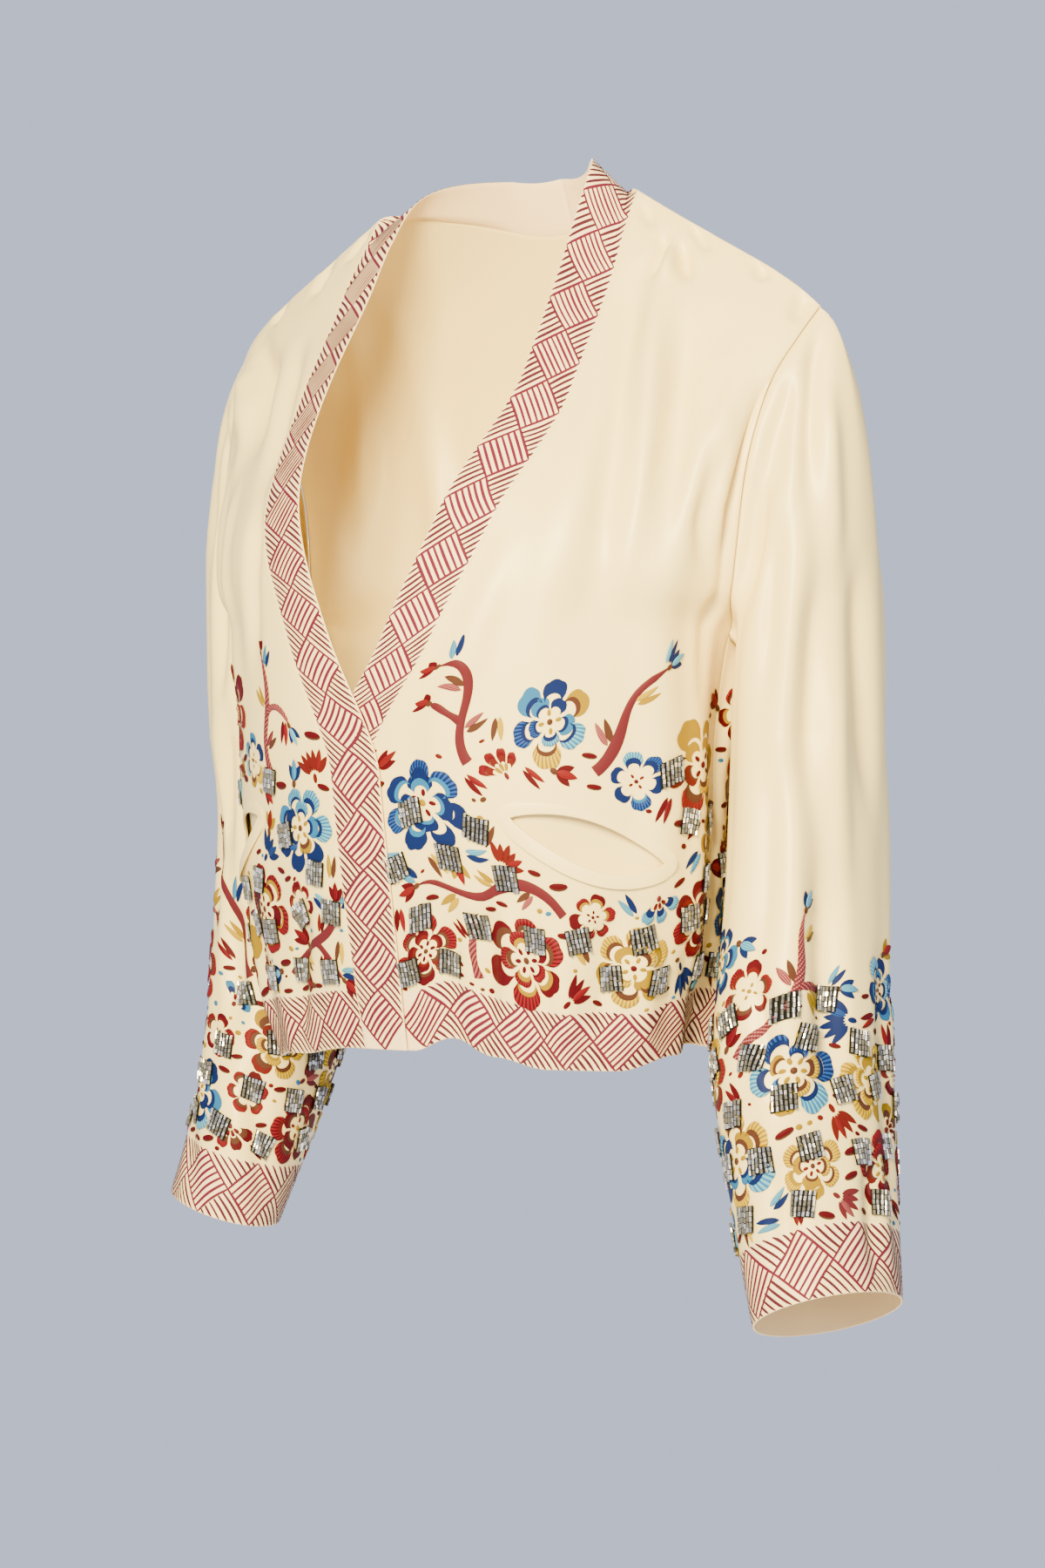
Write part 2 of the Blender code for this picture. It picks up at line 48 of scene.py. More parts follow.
# Torso sections from hem to shoulder: centre_z, side_z, fall, front_width, back_width, front_y, back_y,
# side_front, side_back.
SECTIONS = (
    (-0.505, -0.505, 2.0, 0.146, 0.146, -0.102, 0.094, 0.010, 0.010),
    (-0.455, -0.455, 2.0, 0.159, 0.159, -0.112, 0.093, 0.010, 0.010),
    (-0.400, -0.400, 2.0, 0.165, 0.165, -0.122, 0.094, 0.010, 0.010),
    (-0.345, -0.345, 2.0, 0.167, 0.167, -0.130, 0.099, 0.010, 0.010),
    (-0.265, -0.265, 2.0, 0.166, 0.166, -0.136, 0.110, 0.010, 0.010),
    (-0.187, -0.236, 2.0, 0.180, 0.186, -0.122, 0.116, -0.012, 0.046),
    (-0.100, -0.168, 1.8, 0.194, 0.200, -0.070, 0.108, -0.018, 0.056),
    (-0.022, -0.114, 1.4, 0.205, 0.210, -0.025, 0.085, -0.008, 0.050),
    (0.040, -0.086, 1.0, 0.214, 0.216, -0.004, 0.046, 0.006, 0.038),
    (0.075, -0.066, 0.8, 0.219, 0.219, 0.008, 0.008, 0.022, 0.022),
)
UNDERARM, SHOULDER = 4, 9
BACK_NECK_PLACE = 7.2
ROUNDNESS = 2.2
SHOULDER_ROUNDING = 0.009
SECTION_SPACING = 0.055
LAP_LIFT = 0.0024

# Band edges at the same sections: free, sewn, free_rise.
LEFT_BAND = (
    (-0.0220, 0.0120, 0.0), (-0.0225, 0.0125, 0.0), (-0.0235, 0.0120, 0.0), (-0.0270, 0.0080, 0.0),
    (0.0220, 0.0550, 0.0), (0.0520, 0.0850, 0.0), (0.0720, 0.1045, 0.0), (0.0680, 0.1028, 0.0),
    (0.0680, 0.1005, 0.003), (0.0690, 0.0990, 0.005),
)
RIGHT_BAND = (
    (-0.0155, 0.0155, 0.0), (-0.0172, 0.0172, 0.0), (-0.0180, 0.0180, 0.0), (-0.0178, 0.0185, 0.0),
    (0.0150, 0.0510, 0.0), (0.0535, 0.0880, 0.0), (0.0770, 0.1025, 0.0), (0.0750, 0.1045, 0.0),
    (0.0705, 0.0995, -0.003), (0.0690, 0.0990, -0.006),
)
BANDS = {LEFT: LEFT_BAND, RIGHT: RIGHT_BAND}
BAND_WIDTH = 0.034
BAND_BACK_LEAN = 0.38

# Sleeve sections from the upper arm to the cuff: x, y, z, half_width, half_depth, twist, inner_drop,
# back_drop.
SLEEVES = {
    LEFT: (
        (0.203, 0.038, -0.320, 0.036, 0.058, 0.0, 0.000, 0.000),
        (0.205, 0.031, -0.400, 0.037, 0.058, 0.0, 0.000, 0.000),
        (0.2083, 0.018, -0.500, 0.045, 0.060, 0.0, 0.004, 0.002),
        (0.2223, 0.010, -0.580, 0.042, 0.057, 0.0, 0.010, 0.005),
        (0.2388, 0.000, -0.651, 0.038, 0.050, 0.0, 0.0155, 0.008),
    ),
    RIGHT: (
        (-0.200, 0.036, -0.320, 0.036, 0.058, 0.0, 0.000, 0.000),
        (-0.2001, 0.042, -0.400, 0.037, 0.058, 0.0, 0.000, 0.000),
        (-0.2013, 0.038, -0.480, 0.040, 0.059, 10.0, 0.003, -0.001),
        (-0.2065, 0.020, -0.550, 0.038, 0.057, 24.0, 0.006, -0.002),
        (-0.2195, 0.000, -0.6185, 0.034, 0.051, 38.0, 0.010, -0.004),
    ),
}

# How far the hem hangs below its section: turn in degrees, drop.
HEM = {
    FRONT: (
        (-90, 0.004), (-62, 0.012), (-30, 0.006), (-8, 0.000), (6, 0.000), (15, -0.008), (27, 0.002),
        (40, 0.009), (60, 0.010), (78, 0.002), (90, -0.003),
    ),
    BACK: (
        (-90, 0.004), (-64, 0.006), (-30, -0.004), (0, 0.004), (34, -0.004), (64, 0.006), (90, -0.003),
    ),
}
HEM_HANG = 1.8

# The largest folds: face, turn, half_width, low, high, height.
FOLDS = (
    (FRONT, 90, 11, -1.0, 4.4, -0.015), (BACK, 90, 16, -1.0, 4.4, -0.015),
    (FRONT, -90, 16, -1.0, 4.4, -0.006), (BACK, -90, 16, -1.0, 4.4, -0.006),
    (FRONT, 68, 9, 1.0, 7.4, 0.005), (FRONT, 55, 8, 3.4, 7.8, -0.003), (FRONT, 40, 9, 3.2, 8.2, 0.003),
    (FRONT, 17, 6, -1.0, 2.0, -0.004), (FRONT, 31, 8, -1.0, 1.8, 0.003), (FRONT, -68, 9, 0.0, 7.2, 0.004),
    (FRONT, -52, 8, 3.4, 7.8, -0.003), (FRONT, -34, 9, -1.0, 2.4, 0.003), (BACK, 30, 10, -1.0, 5.0, 0.005),
    (BACK, 14, 8, -1.0, 4.6, -0.003), (BACK, -6, 10, -1.0, 4.2, 0.004), (BACK, -34, 10, -1.0, 5.4, 0.005),
    (BACK, -50, 8, -1.0, 4.8, -0.003), (BACK, 52, 9, 0.5, 6.0, -0.003),
)

# The sleeves' largest folds: angle, half_width, low, high, height.
SLEEVE_FOLDS = {
    LEFT: (
        (38, 20, -1.0, 1.8, 0.003), (112, 22, 0.4, 3.4, 0.003), (150, 18, 0.2, 2.6, -0.003),
        (225, 24, 0.2, 3.0, 0.003), (265, 20, 0.6, 2.4, -0.003),
    ),
    RIGHT: (
        (55, 20, 0.2, 2.2, 0.003), (95, 18, 0.2, 2.6, -0.003), (135, 22, 0.4, 3.4, 0.003),
        (215, 24, 0.2, 3.0, 0.003), (255, 20, 0.6, 2.4, -0.003),
    ),
}

# Pocket slits, in a front's rows from hem to shoulder and columns from band to side.
ROWS_PER_SECTION, PANEL_COLUMNS = 3, 12
POCKET_ROW, POCKET_FIRST, POCKET_LAST = 7, 4, 9
POCKET_TILT = 0.014
POCKET_OPEN_UP, POCKET_OPEN_DOWN = 0.0125, 0.0180
POCKET_BULGE = 0.005
# A welt's section: away from the slit, out from the cloth.
WELT_PROFILE = (
    (-0.0003, -0.0005), (-0.0004, 0.0005), (0.0000, 0.0008), (0.0040, 0.0008), (0.0075, 0.0006),
)
WELT_CORNER_STEPS = 9
BAG_SPAN = (3, 10)
BAG_DEPTH = {LEFT: 0.008, RIGHT: 0.003}
WALL, SEAM_GAP = 0.0012, 0.0003

# Cloth of the visual model
CLOTH, WELT_CLOTH = 0.0008, 0.0005
PRINT_LIFT = 0.0008
PRINT_TOP, PRINT_WIDTH = 0.215, 0.23
POCKET_CLEAR = 0.0105
SEAM_SINK = 0.0014
HEM_BORDER, CUFF_BORDER = 0.035, 0.040
ROW_STEP, COLUMN_STEP = 0.25, 0.2
ROWS = np.arange(0, SHOULDER * ROWS_PER_SECTION + 0.01, ROW_STEP)
COLUMNS = np.arange(0, PANEL_COLUMNS + 0.01, COLUMN_STEP)
PLACES = ROWS / ROWS_PER_SECTION
TOP_ROW = SHOULDER * ROWS_PER_SECTION
BAND_ACROSS, NECK_STATIONS, BACK_NECK_POINTS = 9, 31, 51
ARMHOLE_POINTS, CAP_RINGS, SLEEVE_RINGS = 61, 33, 61
BAG_POINTS, SMOOTHING_PASSES, MOST_CIRCLES = 29, 110, 9000
# Where the print's lengths along the body and the sleeves are measured, and the rings it may cover.
GIRTH_ROW, GIRTH_RING, PRINT_RINGS = 6, 24, 64

# Small creases: half width and depth in millimetres, negative inward, then the points of a line on the
# piece. A front's points are (row, column), the back's (row, turn in degrees) and a sleeve's (share of the
# length from the armhole, angle).
FRONT_CREASES = {
    LEFT: (
        (5, -4, (25.6, 0.3), (24.6, 1)), (6, -6.8, (24.6, 1.5), (23.2, 1.6), (21.7, 1.3)),
        (6, -6.4, (24.6, 2.1), (22.6, 3.2)), (6, 5.2, (24.4, 1.8), (21.8, 2.2)),
        (5, -4.4, (26.5, 2.4), (25, 3.3)), (6, -4.4, (26.7, 5.7), (25.3, 6.3)),
        (7, -3.6, (26.6, 9.2), (24.4, 9.8)), (13, -8.4, (21.6, 0.9), (18.2, 2.4), (16.2, 3.9), (11.6, 5.3)),
        (14, 7.2, (21.2, 2.1), (18.1, 3.5), (16, 5.2), (12.2, 6.8)),
        (12, -6, (20.6, 3.8), (17.6, 5.8), (14.6, 7.8)), (11, -6.8, (20, 6.6), (16.5, 9.1), (13, 10.4)),
        (10, 5.6, (19.4, 7.9), (15.6, 10)), (7, -8.4, (20.5, 11), (17, 11.1), (13.5, 10.9), (10, 10.7)),
        (14, 4.4, (14.5, 1.2), (10.5, 1.7), (6.5, 1.4)), (10, -4.8, (5.2, 7), (1, 7)),
        (10, -5.2, (5, 3.1), (0.8, 3)), (10, 4.4, (4, 5.4), (0, 5.9)), (11, 4.4, (4.4, 8.3), (0, 8.9)),
        (10, -5.2, (3.6, 10.2), (0, 11.4)),
    ),
    RIGHT: (
        (5, -4, (25.8, 0.4), (24.4, 1.1)), (7, -4.8, (26.4, 2.4), (23.8, 2.8)),
        (6, -4, (26.7, 5.4), (25, 5.9)), (13, -7.6, (24.4, 6.9), (20.4, 4.6), (17.2, 2.7)),
        (13, 6, (23, 8.2), (18.6, 5.4)), (11, -6, (20.4, 2.1), (15.7, 0.4)),
        (11, -6.4, (15.6, 0.6), (11.2, 2.7)), (14, 6, (17.4, 4.6), (13.6, 5.4), (10, 5)),
        (12, -6.8, (19.2, 7.4), (14.6, 9.4), (11, 10.2)), (9, -5.6, (17.6, 10.9), (13.4, 10.8)),
        (10, -5.2, (4.6, 1.8), (0.2, 3.6)), (11, 4.8, (5, 6), (0, 6.4)), (11, -5.2, (5.6, 8.6), (0, 8.2)),
    ),
}
BACK_CREASES = (
    (9, -5.6, (25.4, 58), (22.8, 57), (20, 63)), (10, -5.2, (25.2, -54), (20.6, -62)),
    (12, -6, (24.4, 46), (19, 60), (14, 72)), (12, -6.8, (23.8, -44), (18.6, -58), (13.4, -71)),
    (16, -6.8, (24, 36), (17, 42), (11, 38)), (15, -7.6, (22.6, -36), (16, -38), (9.4, -43)),
    (18, -5.2, (21, 12), (15.6, 5), (12, 7)), (17, 6, (20, -12), (12.4, -18)),
    (16, 5.2, (22.2, 24), (14, 26)), (11, -16, (13.8, 80), (9, 79), (4, 80), (-0.5, 82)),
    (10, -12, (13.2, -80), (8, -79), (1, -81)), (13, -6.8, (9.6, 23), (5, 19), (0, 21)),
    (13, -6.4, (8.2, -26), (0, -19)), (12, 4.8, (6, 2), (0, 5)), (12, -5.6, (7.4, 67), (0, 61)),
    (13, -5.6, (6.2, -68), (0, -58)),
)
SLEEVE_CREASES = {
    LEFT: (
        (8, -6.8, (0, 165), (0.08, 138), (0.2, 127)), (8, -6.4, (0.03, 122), (0.16, 95)),
        (8, -7.2, (0.03, 100), (0.13, 78), (0.24, 70)), (8, -6.4, (0.02, 74), (0.2, 56)),
        (9, -6, (0.17, 99), (0.34, 101)), (10, 5.6, (0.1, 147), (0.26, 151)),
        (12, -7.2, (0.25, 135), (0.48, 131)), (16, 6.8, (0.14, 116), (0.46, 119), (0.86, 118)),
        (12, 6, (0.31, 153), (0.55, 161)), (11, -6.4, (0.41, 109), (0.62, 107)),
        (12, -6.8, (0.25, 172), (0.47, 189)), (13, -5.6, (0.52, 146), (0.74, 150)),
        (9, -6, (0.61, 102), (0.75, 115)), (10, -5.2, (0.79, 115), (0.97, 99)),
        (11, -5.2, (0.82, 176), (0.99, 174)), (12, -6.4, (0.1, 225), (0.46, 238)),
        (10, -5.6, (0.06, 258), (0.24, 244)), (12, -6, (0.36, 286), (0.8, 279)),
        (12, -5.2, (0.6, 200), (0.98, 207)), (10, -5.2, (0.5, 252), (0.62, 226), (0.66, 204)),
    ),
    RIGHT: (
        (8, -6.4, (0.01, 112), (0.17, 99)), (9, -6, (0.03, 134), (0.22, 121)),
        (9, -6.8, (0.09, 82), (0.34, 100)), (9, -6, (0.04, 60), (0.26, 54)),
        (13, 6, (0.16, 150), (0.46, 140)), (10, -6.8, (0.33, 86), (0.54, 111)),
        (12, -6, (0.4, 128), (0.64, 133)), (10, -5.6, (0.56, 84), (0.72, 96)),
        (10, -5.6, (0.75, 161), (0.99, 117)), (10, -5.2, (0.79, 75), (0.97, 47)),
        (12, -6.4, (0.12, 229), (0.46, 240)), (10, -5.2, (0.05, 262), (0.22, 250)),
        (12, -6, (0.38, 283), (0.82, 275)), (12, -5.2, (0.62, 203), (0.98, 209)),
        (10, -5.2, (0.52, 250), (0.64, 222)),
    ),
}

# Colours of the print: name, linear red, green, blue. A stitched patch alternates its colour with a lighter
# thread tone on one slope of each raised stitch line, partly the thread's own tone and partly a painted
# highlight on the stitches.
PAINTS = (
    ("crimson", 0.0600, 0.0016, 0.0050),
    ("brick", 0.0900, 0.0068, 0.0050),
    ("cobalt", 0.0036, 0.0115, 0.0760),
    ("sky", 0.0170, 0.1150, 0.2800),
    ("ochre", 0.2300, 0.1420, 0.0004),
    ("umber", 0.0600, 0.0220, 0.0130),
    ("dusk", 0.0850, 0.0115, 0.0180),
    ("red_thread_highlight", 0.1500, 0.0060, 0.0110),
    ("blue_thread_highlight", 0.0120, 0.0580, 0.2500),
    ("pale_thread_highlight", 0.1000, 0.3000, 0.4700),
    ("gold_thread_highlight", 0.4600, 0.3100, 0.0080),
    ("rose_thread_highlight", 0.3000, 0.0900, 0.1000),
)
CRIMSON, BRICK, COBALT, SKY, OCHRE, UMBER, DUSK = range(7)
RED_THREAD_HIGHLIGHT, BLUE_THREAD_HIGHLIGHT, PALE_THREAD_HIGHLIGHT, GOLD_THREAD_HIGHLIGHT, ROSE_THREAD_HIGHLIGHT = range(7, 12)
# Each print colour's lighter thread tone, laid on the stitches partly as thread colour and partly as
# painted highlight.
THREAD_HIGHLIGHTS = (RED_THREAD_HIGHLIGHT, RED_THREAD_HIGHLIGHT, BLUE_THREAD_HIGHLIGHT, PALE_THREAD_HIGHLIGHT, GOLD_THREAD_HIGHLIGHT, ROSE_THREAD_HIGHLIGHT, ROSE_THREAD_HIGHLIGHT)
# A blossom's petals are each of one of its pairs of tones: ground, rim.
BLOSSOM_TONES = (
    ((UMBER, CRIMSON), (BRICK, CRIMSON), (UMBER, BRICK)),
    ((UMBER, OCHRE), (OCHRE, OCHRE), (UMBER, OCHRE)),
    ((COBALT, SKY), (SKY, COBALT), (COBALT, COBALT)),
    ((UMBER, CRIMSON), (CRIMSON, CRIMSON), (OCHRE, CRIMSON)),
    ((COBALT, SKY), (UMBER, OCHRE), (COBALT, COBALT)),
    ((BRICK, CRIMSON), (DUSK, CRIMSON), (UMBER, BRICK)),
    ((OCHRE, OCHRE), (UMBER, BRICK), (UMBER, OCHRE)),
)
LEAF_TONES = ((SKY, COBALT), (OCHRE, UMBER), (BRICK, CRIMSON), (CRIMSON, CRIMSON))
BRANCH_STEP = 0.0011
HATCH_PAINTS = (("hatch_rose", 0.1000, 0.0105, 0.0290), ("hatch_brown", 0.0640, 0.0120, 0.0220))
# Beads: name, tone, roughness. The last is a near-black sheet under each square: painted shade in the gaps
# between the bead columns.
BEAD_METALS = (
    ("bead_bright", 0.80, 0.22), ("bead_grey", 0.34, 0.26), ("bead_dark", 0.09, 0.30),
    ("bead_gap_shade", 0.006, 0.8),
)
# The net of bead squares: along and up.
BEAD_NET = (0.0320, 0.0290)
IVORY, BORDER_GROUND = (0.840, 0.680, 0.295), (0.850, 0.650, 0.385)

# Stage
FLOOR_HALF, FLOOR_Z = 1.6, -1.3
AZIMUTH, CAMERA_AWAY, CAMERA_Z = math.radians(38), 2.4, -0.35


def between(table, place):
    """The table's rows at fractional places, on a smooth curve through them that never swings past them."""
    rows = np.array(table, float)
    place = np.asarray(place, float)
    low = np.clip(np.floor(place).astype(int), 0, len(rows) - 2)

    def row(step):
        return rows[np.clip(low + step, 0, len(rows) - 1)]

    before, here, after = row(0) - row(-1), row(1) - row(0), row(2) - row(1)
    start, end = level_slope(before, here), level_slope(here, after)
    t = (place - low)[..., None]
    curve = row(0) * (1 + 2 * t) * (1 - t) ** 2 + start * t * (1 - t) ** 2
    return curve + row(1) * t * t * (3 - 2 * t) + end * t * t * (t - 1)


def level_slope(before, after):
    same_way = before * after > 0
    total = np.where(same_way, before + after, 1)
    return np.where(same_way, 2 * before * after / total, 0)


def ease(value, start, end):
    t = np.clip((np.asarray(value, float) - start) / (end - start), 0, 1)
    return t * t * (3 - 2 * t)


def hump(value, centre, half_width):
    away = np.minimum(np.abs(value - centre) / half_width, 1)
    return (1 + np.cos(np.pi * away)) / 2


def unit(vectors):
    return vectors / np.maximum(np.linalg.norm(vectors, axis=-1, keepdims=True), 1e-12)


def vectors(*parts):
    return np.stack(np.broadcast_arrays(*parts), axis=-1)


def hem_drop(face, turn):
    degrees = np.degrees(turn)
    points = np.array(HEM[face])
    low = np.clip(np.searchsorted(points[:, 0], degrees) - 1, 0, len(points) - 2)
    share = (degrees - points[low, 0]) / (points[low + 1, 0] - points[low, 0])
    return points[low, 1] + (points[low + 1, 1] - points[low, 1]) * ease(share, 0, 1)


def fold_fade(place, low, high, core):
    """A fold's share of its height along it: all of it over the core, none at its ends."""
    middle = (low + high) / 2
    return 1 - ease(np.abs(place - middle), core * (high - middle), high - middle)


def fold_height(face, turn, place):
    height = 0.0
    for fold_face, fold_turn, half_width, low, high, size in FOLDS:
        if fold_face == face:
            fade = fold_fade(place, low, high, 0.5)
            height = height + size * hump(np.degrees(turn), fold_turn, half_width) * fade
    return height


def torso(face, turn, place):
    """Points of the torso at angles from the centre line and at sections' places."""
    turn, place = np.broadcast_arrays(np.asarray(turn, float), np.asarray(place, float))
    section = np.moveaxis(between(SECTIONS, place), -1, 0)
    width, centre_y, side_y = section[[3, 5, 7]] if face == FRONT else section[[4, 6, 8]]
    across = np.sign(turn) * np.abs(np.sin(turn)) ** (2 / ROUNDNESS)
    along = np.abs(np.cos(turn)) ** (2 / ROUNDNESS)
    drop = (section[1] - section[0]) * np.abs(across) ** section[2]
    tip = SHOULDER_ROUNDING * ease(place, UNDERARM, SHOULDER) * np.abs(across) ** 14
    hang = hem_drop(face, turn) * (1 - ease(place, 0, HEM_HANG))
    outward = unit(vectors(np.sin(turn) / width, np.cos(turn) / (centre_y - side_y + 1e-9), 0.0))
    base = vectors(width * across, side_y + (centre_y - side_y) * along, section[0] + drop - tip - hang)
    return base + fold_height(face, turn, place)[..., None] * outward


def turn_at(place, x):
    share = np.abs(x) / between(SECTIONS, place)[..., 3]
    return np.sign(x) * np.arcsin(np.minimum(share ** (ROUNDNESS / 2), 1))


def lapped(points, side, place):
    if side == RIGHT:
        near = (1 - ease(np.abs(points[..., 0]), 0.030, 0.090)) * (1 - ease(place, 5, 8))
        points = points - vectors(0.0, LAP_LIFT * near, 0.0)
    return points


def pocket_shift(row, column, lip):
    share = (column - POCKET_FIRST) / (POCKET_LAST - POCKET_FIRST)
    inside = np.clip(share, 0, 1)
    beside = 1 - ease(np.maximum(-share, share - 1), 0.0, 0.45)
    near = np.maximum(1 - np.abs(row - POCKET_ROW) / 3, 0)
    tilt = POCKET_TILT * (1 - 2 * inside) * beside
    mouth = np.maximum(np.sin(np.pi * inside), 0) ** 0.8
    rise = np.where(lip > 0, tilt + POCKET_OPEN_UP * mouth, tilt - POCKET_OPEN_DOWN * mouth)
    return near * rise, np.where(lip > 0, 0, near * POCKET_BULGE * mouth)


def panel_turn(side, place, column):
    """Turns of a front's columns, from the band's seam to the side."""
    seam = turn_at(place, between(BANDS[side], place)[..., 1])
    return seam + (np.pi / 2 - seam) * column / PANEL_COLUMNS


def front_points(side, lip):
    """A front's points from hem to shoulder and from band to side; lip picks the pocket's own row."""
    row, column = np.meshgrid(ROWS, COLUMNS, indexing="ij")
    place = row / ROWS_PER_SECTION
    turn = panel_turn(side, place, column)
    rise, bulge = pocket_shift(row, column, np.where(row == POCKET_ROW, lip, row - POCKET_ROW))
    points = torso(FRONT, side * turn, np.maximum(place + rise / SECTION_SPACING, 0))
    outward = vectors(side * np.sin(turn), -np.cos(turn), 0.0)
    return lapped(points, side, place) + bulge[..., None] * outward


def neck_turn():
    return float(turn_at(SHOULDER, LEFT_BAND[SHOULDER][1]))


def neck_place(turn):
    share = np.minimum(np.abs(turn) / neck_turn(), 1)
    return SHOULDER - (SHOULDER - BACK_NECK_PLACE) * (1 - share**2)


def back_turns():
    outer = np.linspace(neck_turn(), np.pi / 2, len(COLUMNS))
    inner = np.linspace(neck_turn(), -neck_turn(), BACK_NECK_POINTS)
    return np.concatenate([outer[::-1], inner[1:-1], -outer])


def back_points():
    """The back's points from hem to neck and from the wearer's left side to the right."""
    turn, place = np.meshgrid(back_turns(), PLACES)
    squeeze = (neck_place(turn) - UNDERARM) / (SHOULDER - UNDERARM)
    return torso(BACK, turn, np.where(place < UNDERARM, place, UNDERARM + (place - UNDERARM) * squeeze))


def band_points(side):
    """A band's points from the hem to the centre back, each station from the sewn to the free edge."""
    share = np.linspace(0, 1, BAND_ACROSS)[None, :]
    edge = between(BANDS[side], PLACES)
    sewn, free = turn_at(PLACES, edge[:, 1])[:, None], turn_at(PLACES, edge[:, 0])[:, None]
    place = PLACES[:, None]
    front = lapped(torso(FRONT, side * (sewn + (free - sewn) * share), place), side, place)
    front = front + vectors(0.0, 0.0, edge[:, 2:] * share)
    shoulder_reach = front[-1, -1] - front[-1, 0]
    back_flat, back_up = BAND_WIDTH * BAND_BACK_LEAN, BAND_WIDTH * math.sqrt(1 - BAND_BACK_LEAN**2)
    round_neck = np.linspace(0, 1, NECK_STATIONS)[1:]
    turn = side * neck_turn() * (1 - round_neck)
    root = torso(BACK, turn, neck_place(turn))
    heading = round_neck * np.pi / 2
    flat = abs(shoulder_reach[0]) + (back_flat - abs(shoulder_reach[0])) * round_neck
    up = shoulder_reach[2] + (back_up - shoulder_reach[2]) * np.sin(heading)
    reach = vectors(-side * np.cos(heading) * flat, -np.sin(heading) * flat, up)
    return np.concatenate([front, root[:, None] + reach[:, None] * share[..., None]])


def smoothed(points, row, reach):
    """The points with a fold at one row rounded off over the rows near it; the first column stays."""
    points = points.copy()
    for _ in range(SMOOTHING_PASSES):
        near = slice(row - reach, row + reach + 1)
        mean = (points[row - reach - 1 : row + reach] + points[row - reach + 1 : row + reach + 2]) / 2
        points[near, 1:] += 0.5 * (mean - points[near])[:, 1:]
    return points


def sleeve_points(side):
    """A sleeve's points from the armhole to the cuff, each ring inner, front, outer, back."""
    upward = np.linspace(UNDERARM, SHOULDER, ARMHOLE_POINTS)
    edge_turn = side * np.pi / 2
    start = np.concatenate([torso(FRONT, edge_turn, upward), torso(BACK, edge_turn, upward[-2:0:-1])])
    count = len(start)
    angles = np.arange(count) * 2 * np.pi / count

    def rings(place):
        section = np.moveaxis(between(SLEEVES[side], place), -1, 0)[..., None]
        x, y, z, half_width, half_depth, twist, inner_drop, back_drop = section
        inner, front = np.cos(angles), np.sin(angles)
        across, along = -side * half_width * inner, -half_depth * front
        cosine, sine = np.cos(np.radians(twist)), np.sin(np.radians(twist))
        spoke = vectors(across * cosine - along * sine, across * sine + along * cosine, 0.0 * z)
        height = 0.0
        for angle, half, low, high, size in SLEEVE_FOLDS[side]:
            fade = fold_fade(place, low, high, 0.4)[:, None]
            height = height + size * fade * hump(np.degrees(angles), angle, half)
        drop = vectors(0.0 * across, 0.0 * across, back_drop * front - inner_drop * inner)
        return vectors(x, y, z) + spoke + drop + height[..., None] * unit(spoke)

    body = rings(np.linspace(0, len(SLEEVES[side]) - 1, SLEEVE_RINGS))
    first, outward = body[0], np.array((side, 0, 0))
    reach = np.linalg.norm(first - start, axis=1, keepdims=True)
    lead_out = start + outward * reach * 0.12 + (first - start) * 0.10
    lead_in = first + np.array((0, 0, 1)) * reach * 0.45
    t = np.linspace(0, 1, CAP_RINGS)[:-1, None, None]
    cap = (1 - t) ** 3 * start + 3 * t * (1 - t) ** 2 * lead_out
    cap = cap + 3 * t * t * (1 - t) * lead_in + t**3 * first
    return np.concatenate([cap, body])


def at(values, row, column):
    """Values of a grid between its points."""
    row, column = np.asarray(row, float), np.asarray(column, float)
    r = np.clip(np.floor(row).astype(int), 0, values.shape[0] - 2)
    c = np.clip(np.floor(column).astype(int), 0, values.shape[1] - 2)
    u, v = row - r, column - c
    if values.ndim == 3:
        u, v = u[..., None], v[..., None]
    low = values[r, c] * (1 - v) + values[r, c + 1] * v
    high = values[r + 1, c] * (1 - v) + values[r + 1, c + 1] * v
    return low * (1 - u) + high * u


def grid_normals(points, way=1, closed=False):
    padded = np.concatenate([points[:, -1:], points, points[:, :1]], axis=1) if closed else points
    normal = np.cross(np.gradient(padded, axis=1), np.gradient(padded, axis=0))
    return way * unit(normal[:, 1:-1] if closed else normal)


def indexed(creases, index):
    """The creases with their points as a grid's indices."""
    return [(half_width, depth, *(index(*stop) for stop in line)) for half_width, depth, *line in creases]


def creased(points, normals, creases, fade):
    """The points moved along their normals, in soft troughs and ridges along lines of grid indices."""
    height = np.zeros(points.shape[:2])
    for half_width, depth, *line in creases:
        stops = at(points, *np.array(line, float).T)
        steps = np.linalg.norm(np.diff(stops, axis=0), axis=1)
        nearest, along = np.full(height.shape, np.inf), np.zeros(height.shape)
        for number, (start, end) in enumerate(zip(stops, stops[1:])):
            span = end - start
            share = np.clip(((points - start) @ span) / (span @ span), 0, 1)
            away = np.linalg.norm(points - start - share[..., None] * span, axis=2)
            closer = away < nearest
            nearest = np.where(closer, away, nearest)
            along = np.where(closer, (steps[:number].sum() + share * steps[number]) / steps.sum(), along)
        across = (nearest / (half_width * MILLIMETRE)) ** 2
        taper = ease(along, -0.12, 0.22) * (1 - ease(along, 0.55, 1.05))
        height += depth * MILLIMETRE * (1 - 0.7 * across) * np.exp(-across) * taper
    return points + normals * (height * fade)[..., None]


def lengths(points):
    """The way along a line of points, or up each column of a grid, from its start."""
    steps = np.linalg.norm(np.diff(points, axis=0), axis=-1)
    return np.concatenate([np.zeros((1, *steps.shape[1:])), np.cumsum(steps, axis=0)])


